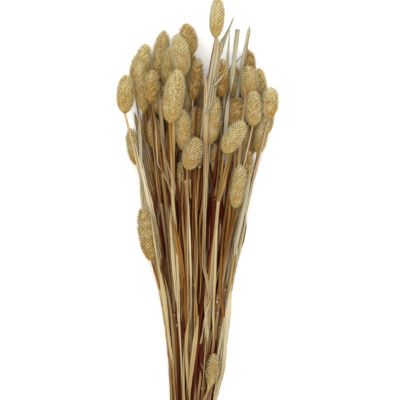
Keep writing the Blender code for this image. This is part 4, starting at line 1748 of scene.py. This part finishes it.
@dataclass(frozen=True)
class Peelings:
    """Thin strips of old sheath that still lie along the straw.

    Lengths, aways and widths are in millimetres."""

    count: int = 5
    end_gap: float = 20 * MM
    least_room: float = 1 * MM
    length: Pair = (60, 190)
    step: float = 7 * MM
    least: int = 8
    tilt: float = 0.3
    twist: float = 0.9
    away: float = 1.45
    loose: float = 1.6
    loose_from: float = 0.7
    loose_over: float = 0.3
    run_places: tuple[float, ...] = (0, 0.05, 0.8, 1)
    run_widths: tuple[float, ...] = (0.3, 1.0, 1.0, 0.5)
    width: Pair = (0.6, 1.3)
    tone: Pair = (0.6, 0.3)
    darkest: float = 0.1
    fold: float = 0.1
    thickness: float = 0.22 * MM
    columns: int = 3

    def grow(self, straw: Straw) -> None:
        """Adds the strips.

        Args:
            straw: the straw that they lie on.
        """
        plan, chance = straw.plan, straw.chance
        low, high = plan.foot + self.end_gap, plan.neck - self.end_gap
        for _ in range(self.count):
            length = chance.uniform(*self.length) * MM
            first = chance.uniform(low, max(high - length, low + self.least_room))
            along = np.linspace(first, min(first + length, high), max(self.least, int(length / self.step)))
            run = (along - first) / length
            angle = chance.uniform(-self.tilt, math.pi + self.tilt) + straw.about(self.twist) * run
            out = tilted(angle)
            curled = np.clip((run - self.loose_from) / self.loose_over, 0, 1) ** 2
            away = (self.away + self.loose * curled * chance.uniform(0, 1)) * MM
            points = plan.middle(along) + away[:, None] * out
            ways = np.stack([out[:, 2], np.zeros(len(run)), -out[:, 0]], axis=1)
            widths = np.interp(run, self.run_places, self.run_widths) * chance.uniform(*self.width) * MM
            tone = float(np.clip(chance.normal(*self.tone), self.darkest, 1))
            LeafBlade(points, ways, widths, POINTED, fold=self.fold, thickness=self.thickness,
                      step=self.step, columns=self.columns, tone=tone).grow(straw)


@dataclass(frozen=True)
class Fibres:
    """Loose fibres that have come away from the straw and its sheath.

    Lengths, falls, aways and widths are in millimetres."""

    most: int = 3
    length: Pair = (14, 46)
    neck_gap: float = 12 * MM
    fall: float = 240
    places: int = 12
    away: Pair = (1.0, 3.2)
    looseness: Pair = (0.2, 1.0)
    lowest: float = 0.6 * MM
    run_places: tuple[float, ...] = (0, 0.1, 1)
    run_widths: tuple[float, ...] = (0.5, 0.55, 0.12)
    fold: float = 0.1
    thickness: float = 0.16 * MM

    def grow(self, straw: Straw) -> None:
        """Adds the fibres.

        Args:
            straw: the straw that they hang on.
        """
        plan, chance = straw.plan, straw.chance
        steps = np.linspace(0, 1, self.places)
        for _ in range(int(chance.integers(1, self.most + 1))):
            length = chance.uniform(*self.length) * MM
            start = plan.neck - length - self.neck_gap - chance.uniform(0, self.fall) * MM
            if start < plan.foot:
                continue
            angle = chance.uniform(0, 2 * math.pi)
            out = np.array([math.cos(angle), 0.0, math.sin(angle)])
            away = (self.away[0] + self.away[1] * steps**2 * chance.uniform(*self.looseness)) * MM
            path = plan.middle(start + steps * length) + away[:, None] * out
            path[:, 2] = np.maximum(path[:, 2], self.lowest)
            ways = np.tile(np.array([out[2], 0.0, -out[0]]), (len(path), 1))
            widths = np.interp(steps, self.run_places, self.run_widths) * MM
            LeafBlade(path, ways, widths, POINTED, fold=self.fold, thickness=self.thickness).grow(straw)


# A scale's corners, root first: shares of its length and its width, and heights of its keel.
SCALE = np.array([
    (0.0, 0.0, 0.0), (0.45, -0.5, -0.2), (0.45, 0.0, 0.9), (0.45, 0.5, -0.2),
    (0.76, -0.36, 0.1), (0.76, 0.0, 1.0), (0.76, 0.36, 0.1), (1.0, 0.0, 1.5)])
SCALE_TRIANGLES = np.array([(0, 1, 2), (0, 2, 3), (0, 3, 1), (7, 5, 4), (7, 6, 5), (7, 4, 6)])
SCALE_QUADS = np.array([(1, 4, 5, 2), (2, 5, 6, 3), (3, 6, 4, 1)])


@dataclass
class SeedHead:
    """A culm's seed head: an egg of overlapping, keeled, pointed scales on a dark core.

    A scale leans, lifts and is as long and wide as it is at the head's ends, and by the second
    number more towards its tip or its middle. Sunk is how deep its root lies, in millimetres."""

    plan: CulmPlan
    girth: Girth
    heap: Heap
    spacing: float = 1.9 * MM
    scale_length: Pair = (4.8 * MM, 6.4 * MM)
    scale_width: Pair = (1.9 * MM, 2.4 * MM)
    keel: float = 0.4 * MM
    proud: float = 0.25 * MM
    widest: float = 0.42
    stations: int = 400
    share_spread: float = 0.003
    angle_spread: float = 0.05
    nearby: float = 1e-3
    lean: Pair = (0.55, 0.2)
    lift: Pair = (0.35, 0.25)
    most_lift: float = 0.45
    way_spread: float = 0.05
    long_share: Pair = (0.8, 0.2)
    wide_share: Pair = (0.75, 0.25)
    top_gap: float = 1.2 * MM
    root_share: float = 0.58
    sunk: float = 0.35
    floor_gap: float = 0.1 * MM
    fibre_length: float = 5
    fibre_shift: float = 3.7
    tone_spread: float = 0.22
    deepness: Pair = (0.35, 0.8)
    open_tone: float = 1.6
    core_ends: Pair = (0.02, 0.98)
    core_rings: int = 12
    core_sides: int = 10
    core_gap: float = 2 * MM
    core_inset: float = 0.25 * MM
    core_least: float = 0.4 * MM
    core_dark: float = 0.1
    tones: Pair = (0.55, 0.2)
    tone_limits: Pair = (0.1, 1.0)
    core_deep: float = 0.3
    seed: int = 9000
    draft: Draft = field(default_factory=Draft)

    def __post_init__(self) -> None:
        """Sets out the head's own axes, its run of chance, its bristle and its tone."""
        number = self.plan.number
        self.chance = np.random.default_rng(self.seed + number)
        self.axis = unit(self.plan.head_tip - self.plan.head_base)
        self.length = float(np.linalg.norm(self.plan.head_tip - self.plan.head_base))
        self.side = unit(np.cross(self.axis, UP))
        self.up = np.cross(self.side, self.axis)
        self.bristle = BRISTLES.get(number, 1.0)
        tone = float(np.clip(self.chance.normal(*self.tones), *self.tone_limits))
        self.tone = HEAD_TONES.get(number, tone)

    @property
    def body(self) -> float:
        """The radius that the scales stand on."""
        return self.plan.head_reach - self.proud

    def outline(self, share: Vec) -> Vec:
        """The shape of the body.

        Args:
            share: places along it, as shares of its length.

        Returns:
            Its radius at each place, its widest being 1.
        """
        below = np.clip((self.widest - share) / self.widest, 0, 1) ** 2
        above = np.clip((share - self.widest) / (1 - self.widest), 0, 1) ** 3
        return np.sqrt(np.clip(1 - below - above, 0, 1))

    def places(self) -> tuple[Vec, Vec]:
        """The places of the scales, evenly spread in a spiral.

        Returns:
            Their shares of the head's length, and their bearings.
        """
        share = np.linspace(0, 1, self.stations)
        radius = self.outline(share) * self.body
        slant = np.hypot(np.gradient(radius), np.gradient(share) * self.length)
        area = np.concatenate([[0.0], np.cumsum(math.pi * (radius[1:] + radius[:-1]) * slant[1:])])
        count = int(area[-1] / self.spacing**2)
        turns = np.arange(count) + 0.5
        shares = np.interp(turns / count * area[-1], area, share)
        golden = math.pi * (3 - math.sqrt(5))
        angles = turns * golden + self.chance.uniform(*PHASE)
        shares = np.clip(shares + self.chance.normal(0, self.share_spread, count), 0, 1)
        return shares, angles + self.chance.normal(0, self.angle_spread, count)

    def ways(self, share: Vec, out: Vec) -> Vec:
        """The ways that the scales point.

        Args:
            share: their places along the head.
            out: the ways straight out from its middle line.

        Returns:
            One way for each scale.
        """
        above, below = (self.outline(np.clip(share + move, 0, 1)) for move in (self.nearby, -self.nearby))
        run = 2 * self.nearby * self.length
        ahead = unit(run * self.axis + ((above - below) * self.body)[:, None] * out)
        share = share[:, None]
        lean = self.lean[0] + self.lean[1] * share
        lift = self.lift[0] + self.lift[1] * np.sin(math.pi * share)
        lift = (lift + self.chance.uniform(0, self.most_lift, share.shape)) * self.bristle
        stray = self.way_spread * self.chance.normal(0, 1, out.shape)
        return unit(ahead * (1 - lean) + self.axis * lean + out * lift + stray)

    def build_scales(self) -> None:
        """All the scales, each a keeled boat of eight corners."""
        share, angle = self.places()
        count, corners = len(share), len(SCALE)
        out = np.cos(angle)[:, None] * self.side + np.sin(angle)[:, None] * self.up
        way = self.ways(share, out)
        middling = np.sin(math.pi * share)
        length, width = (
            self.chance.uniform(*limits, count) * (least + more * middling)
            for limits, (least, more) in (
                (self.scale_length, self.long_share), (self.scale_width, self.wide_share))
        )
        axis = share[:, None] * (self.length - self.top_gap) * self.axis
        surface = self.plan.head_base + axis + (self.outline(share) * self.body)[:, None] * out
        root = surface - way * (length * self.root_share)[:, None] - out * self.sunk * MM
        across = unit(np.cross(way, out))
        above = np.cross(across, way)
        points = (root[:, None] + SCALE[None, :, :1] * length[:, None, None] * way[:, None]
                  + SCALE[None, :, 1:2] * width[:, None, None] * across[:, None]
                  + SCALE[None, :, 2:] * self.keel * above[:, None]).reshape(-1, 3)
        points[:, 2] = np.maximum(points[:, 2], self.floor_gap)
        offset = (np.arange(count) * corners)[:, None, None]
        faces = [(SCALE_TRIANGLES + offset).reshape(-1, 3), (SCALE_QUADS + offset).reshape(-1, 4)]
        reach = np.tile(SCALE[:, 0], count)
        grain = np.column_stack([
            np.tile(SCALE[:, 1], count) * np.repeat(width, corners), reach * self.fibre_length * MM,
            np.repeat(np.arange(count), corners) * self.fibre_shift])
        tone = np.clip(self.tone + self.chance.normal(0, self.tone_spread, count), 0, 1)
        # Painted shade: scales deep in the bunch are turned amber, and pale and bristly heads take less of
        # it.
        by_girth, by_heap = self.deepness
        hemmed = by_heap * self.heap.enclosed(points, corners)
        deep = np.clip(by_girth * self.girth.depth(points) + hemmed, 0, 1)
        deep = deep * min(self.open_tone - self.tone, 1.0) / self.bristle
        self.draft.add(points, faces, grain, dark=reach, tone=np.repeat(tone, corners),
                       leaf=np.repeat(share, corners), deep=deep)

    def build_core(self) -> None:
        """The core that the scales stand on, dark as painted shade in the gaps between the scales."""
        share = np.linspace(*self.core_ends, self.core_rings)
        middles = self.plan.head_base + share[:, None] * (self.length - self.core_gap) * self.axis
        sides, ups = (np.tile(way, (self.core_rings, 1)) for way in (self.side, self.up))
        angles = ring_angles(self.core_sides)
        radius = np.maximum(self.outline(share) * (self.body - self.core_inset), self.core_least)[:, None]
        points, faces = Sweep(middles, sides, ups).body(radius * np.cos(angles), radius * np.sin(angles))
        self.draft.add(points, faces, points, dark=self.core_dark, tone=self.tone,
                       deep=self.core_deep, leaf=self.core_deep)

    def build(self) -> bpy.types.Object:
        """Builds the whole head.

        Returns:
            Its piece.
        """
        self.build_core()
        self.build_scales()
        return self.draft.to_piece(f"{self.plan.name}_head", FINISHES[self.plan.tone][1], False)


@dataclass(frozen=True)
class Band:
    """The elastic band: turns of rubber strip round the straws.

    The strip's section is rows of half widths and half thicknesses, and half_thick is in
    millimetres."""

    turns: int = 4
    half_width: float = 1.0 * MM
    half_thick: float = 0.5
    inset: float = 0.55 * MM
    waver: float = 0.35 * MM
    waves: int = 2
    turn_shift: float = 1.7
    stations: int = 60
    sight: float = 0.2
    section: tuple[Pair, ...] = (
        (-1.0, -0.6), (-0.5, -1.0), (0.5, -1.0), (1.0, -0.6),
        (1.0, 0.6), (0.5, 1.0), (-0.5, 1.0), (-1.0, 0.6))

    def outline(self) -> tuple[Vec, Vec, Vec]:
        """The outline of the band's solid round the bunch.

        Returns:
            Its middle across and up, bearings from there, and how far it reaches at each of them.
        """
        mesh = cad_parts[BAND_NODE].data
        places = np.unique(np.round([v.co[:] for v in mesh.vertices], SolidReader.PLACE_DIGITS), axis=0)
        flat = places[places[:, 1] < places[:, 1].mean()][:, [0, 2]]
        middle = (flat.min(axis=0) + flat.max(axis=0)) / 2
        away = flat - middle
        bearing, reach = np.arctan2(away[:, 1], away[:, 0]), np.hypot(away[:, 0], away[:, 1])
        asked = np.linspace(-math.pi, math.pi, self.stations, endpoint=False)
        rows = []
        for angle in asked:
            near = np.abs((bearing - angle + math.pi) % (2 * math.pi) - math.pi) < self.sight
            rows.append(reach[near].max() if near.any() else np.nan)
        rows = np.array(rows)
        known = ~np.isnan(rows)
        return middle, asked, np.interp(asked, asked[known], rows[known], period=2 * math.pi)

    def build(self) -> bpy.types.Object:
        """Builds the turns.

        Returns:
            Their piece.
        """
        middle, angles, reach = self.outline()
        low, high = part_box(BAND_NODE)
        draft = Draft()
        section = np.array(self.section)
        count, corners = len(angles), len(section)
        rows = np.arange(count)[:, None] * corners
        following = ((np.arange(count) + 1) % count)[:, None] * corners
        for turn in range(self.turns):
            along = low[1] + (turn + 0.5) * (high[1] - low[1]) / self.turns
            waver = self.waver * np.sin(angles * self.waves + turn * self.turn_shift)
            points = []
            for angle, radius, shift in zip(angles, reach - self.inset, waver):
                out = np.array([math.cos(angle), 0.0, math.sin(angle)])
                centre = np.array([middle[0], along + shift, middle[1]]) + out * radius
                points.append(centre + section[:, :1] * np.array([0.0, self.half_width, 0.0])
                              + section[:, 1:] * out * self.half_thick * MM)
            points = np.concatenate(points)
            points[:, 2] = np.maximum(points[:, 2], 0.0)
            draft.add(points, [ring_walls(rows, following, corners)], points)
        return draft.to_piece("band_turns", RubberFinish().material(), True)


@dataclass(frozen=True)
class Lamp:
    """A square lamp, with its place, the length of its side and its power in watts."""

    name: str
    place: Triple
    side: float
    power: float

    def hang(self, aim: Triple) -> None:
        """Hangs the lamp.

        Args:
            aim: the point that it faces.
        """
        light = bpy.data.lights.new(self.name, "AREA")
        light.shape = "SQUARE"
        light.size = self.side
        light.energy = self.power
        lamp = place_object(self.name, light)
        lamp.location = self.place
        way = Vector(np.array(aim) - np.array(self.place))
        lamp.rotation_euler = way.to_track_quat("-Z", "Y").to_euler()


@dataclass(frozen=True)
class Studio:
    """The floor, the lights and the camera."""

    floor_side: float = 6.0
    lamps: tuple[Lamp, ...] = (
        Lamp("key", (-0.12, 0.36, 1.75), 1.5, 29.0), Lamp("fill", (0.5, -0.1, 1.6), 1.6, 10.5))
    glow: tuple[float, ...] = (1.0, 0.99, 0.97, 1.0)
    glow_strength: float = 0.8
    frame_width: float = 0.32
    frame_middle: Pair = (0.001, 0.1175)
    focus_height: float = 0.035
    camera_height: float = 1.8
    lens_sensor: float = 36.0

    def build(self) -> None:
        """Sets up everything around the object."""
        self.build_floor()
        self.build_lights()
        self.build_camera()

    def build_floor(self) -> None:
        """A wide floor at the height that the bunch lies on."""
        half = self.floor_side / 2
        mesh = bpy.data.meshes.new("floor")
        corners = [(-half, -half, 0), (half, -half, 0), (half, half, 0), (-half, half, 0)]
        mesh.from_pydata(corners, [], [(0, 1, 2, 3)])
        mesh.materials.append(FloorFinish().material())
        place_object("floor", mesh)

    def build_lights(self) -> None:
        """A large soft lamp above, a weaker one beside it, and an even glow all round."""
        for lamp in self.lamps:
            lamp.hang((*self.frame_middle, 0.0))
        world = bpy.data.worlds.new("glow")
        world.use_nodes = True
        background = world.node_tree.nodes["Background"]
        background.inputs["Color"].default_value = self.glow
        background.inputs["Strength"].default_value = self.glow_strength
        bpy.context.scene.world = world
        bpy.context.scene.view_settings.view_transform = "Standard"

    def build_camera(self) -> None:
        """A camera straight above, with the heads at the top of the picture."""
        camera = bpy.data.cameras.new("camera")
        camera.sensor_width = self.lens_sensor
        camera.lens = self.lens_sensor * (self.camera_height - self.focus_height) / self.frame_width
        seen = place_object("camera", camera)
        seen.location = (*self.frame_middle, self.camera_height)
        bpy.context.scene.camera = seen


# The finishes of each slot: that of its straws and that of its scales.
FINISHES: dict[Tone, tuple[bpy.types.Material, bpy.types.Material]] = {}


def make_finishes() -> None:
    """Makes the straw and scale finishes of each slot."""
    straws = {
        Tone.PALE: StrawFinish(
            "straw_pale", (0.12, 0.042, 0.007), (0.32, 0.195, 0.062), (0.45, 0.365, 0.235)),
        Tone.GOLDEN: StrawFinish(
            "straw_golden", (0.10, 0.028, 0.003), (0.29, 0.155, 0.028), (0.43, 0.32, 0.165)),
        Tone.BROWN: StrawFinish(
            "straw_brown", (0.08, 0.015, 0.002), (0.25, 0.115, 0.018), (0.38, 0.26, 0.125)),
    }
    scales = {
        Tone.PALE: ScaleFinish(
            "scales_pale", (0.33, 0.25, 0.105), (0.415, 0.338, 0.142), (0.52, 0.46, 0.245),
            (0.68, 0.65, 0.48)),
        Tone.GOLDEN: ScaleFinish(
            "scales_golden", (0.31, 0.22, 0.08), (0.39, 0.303, 0.112), (0.495, 0.42, 0.20),
            (0.66, 0.61, 0.42)),
        Tone.BROWN: ScaleFinish(
            "scales_brown", (0.30, 0.21, 0.08), (0.375, 0.293, 0.112), (0.48, 0.405, 0.20),
            (0.64, 0.59, 0.42)),
    }
    for tone in Tone:
        FINISHES[tone] = straws[tone].material(), scales[tone].material()


def rank(culm: CulmPlan, across: float, along: float) -> float:
    """How high a culm's straw lies at a place, less for each length aside.

    Args:
        culm: the culm.
        across: the place across the bunch.
        along: the place along it.

    Returns:
        A length, or minus infinity where the straw doesn't reach the place.
    """
    aside_cost = 6
    if not culm.foot < along < culm.neck:
        return -math.inf
    middle = culm.middle(np.array([along]))[0]
    return middle[2] - aside_cost * abs(middle[0] - across)


def topmost(culms: list[CulmPlan], across: float, along: float) -> int:
    """The number of the culm whose straw lies highest at a place, or nearest to it."""
    return max(culms, key=lambda culm: rank(culm, across, along)).number


def seat(piece: bpy.types.Object, node: str) -> None:
    """Puts a piece on the model's body, in place of a node, and reports it.

    Args:
        piece: the piece.
        node: the node that it stands in for.
    """
    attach(piece, ROOT_BODY)
    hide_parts(node)
    LOG.info("%s: %d faces", piece.name, len(piece.data.polygons))


def main() -> None:
    """Builds the bunch, the band and the studio."""
    logging.basicConfig(level=logging.INFO, format="%(name)s: %(message)s")
    names = sorted(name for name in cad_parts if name.startswith("culm_"))
    culms = [SolidReader(name).plan(int(name.split("_")[1])) for name in names]
    girth, heap = Girth.around(culms), Heap.of(culms)
    borne: dict[int, list[Strap]] = {culm.number: [] for culm in culms}
    for strap in STRAPS:
        borne[strap.nearest(culms)].append(strap)
    shown: dict[int, list[float]] = {culm.number: [] for culm in culms}
    for across, along in SHOWN_JOINTS:
        shown[topmost(culms, across * MM, along * MM)].append(along * MM)
    make_finishes()
    for culm in culms:
        straw = Straw(culm, girth, heap, borne[culm.number], shown[culm.number])
        seat(straw.build(), culm.name)
        seat(SeedHead(culm, girth, heap).build(), culm.name)
    seat(Band().build(), BAND_NODE)
    Studio().build()


if __name__ == "__main__":
    main()
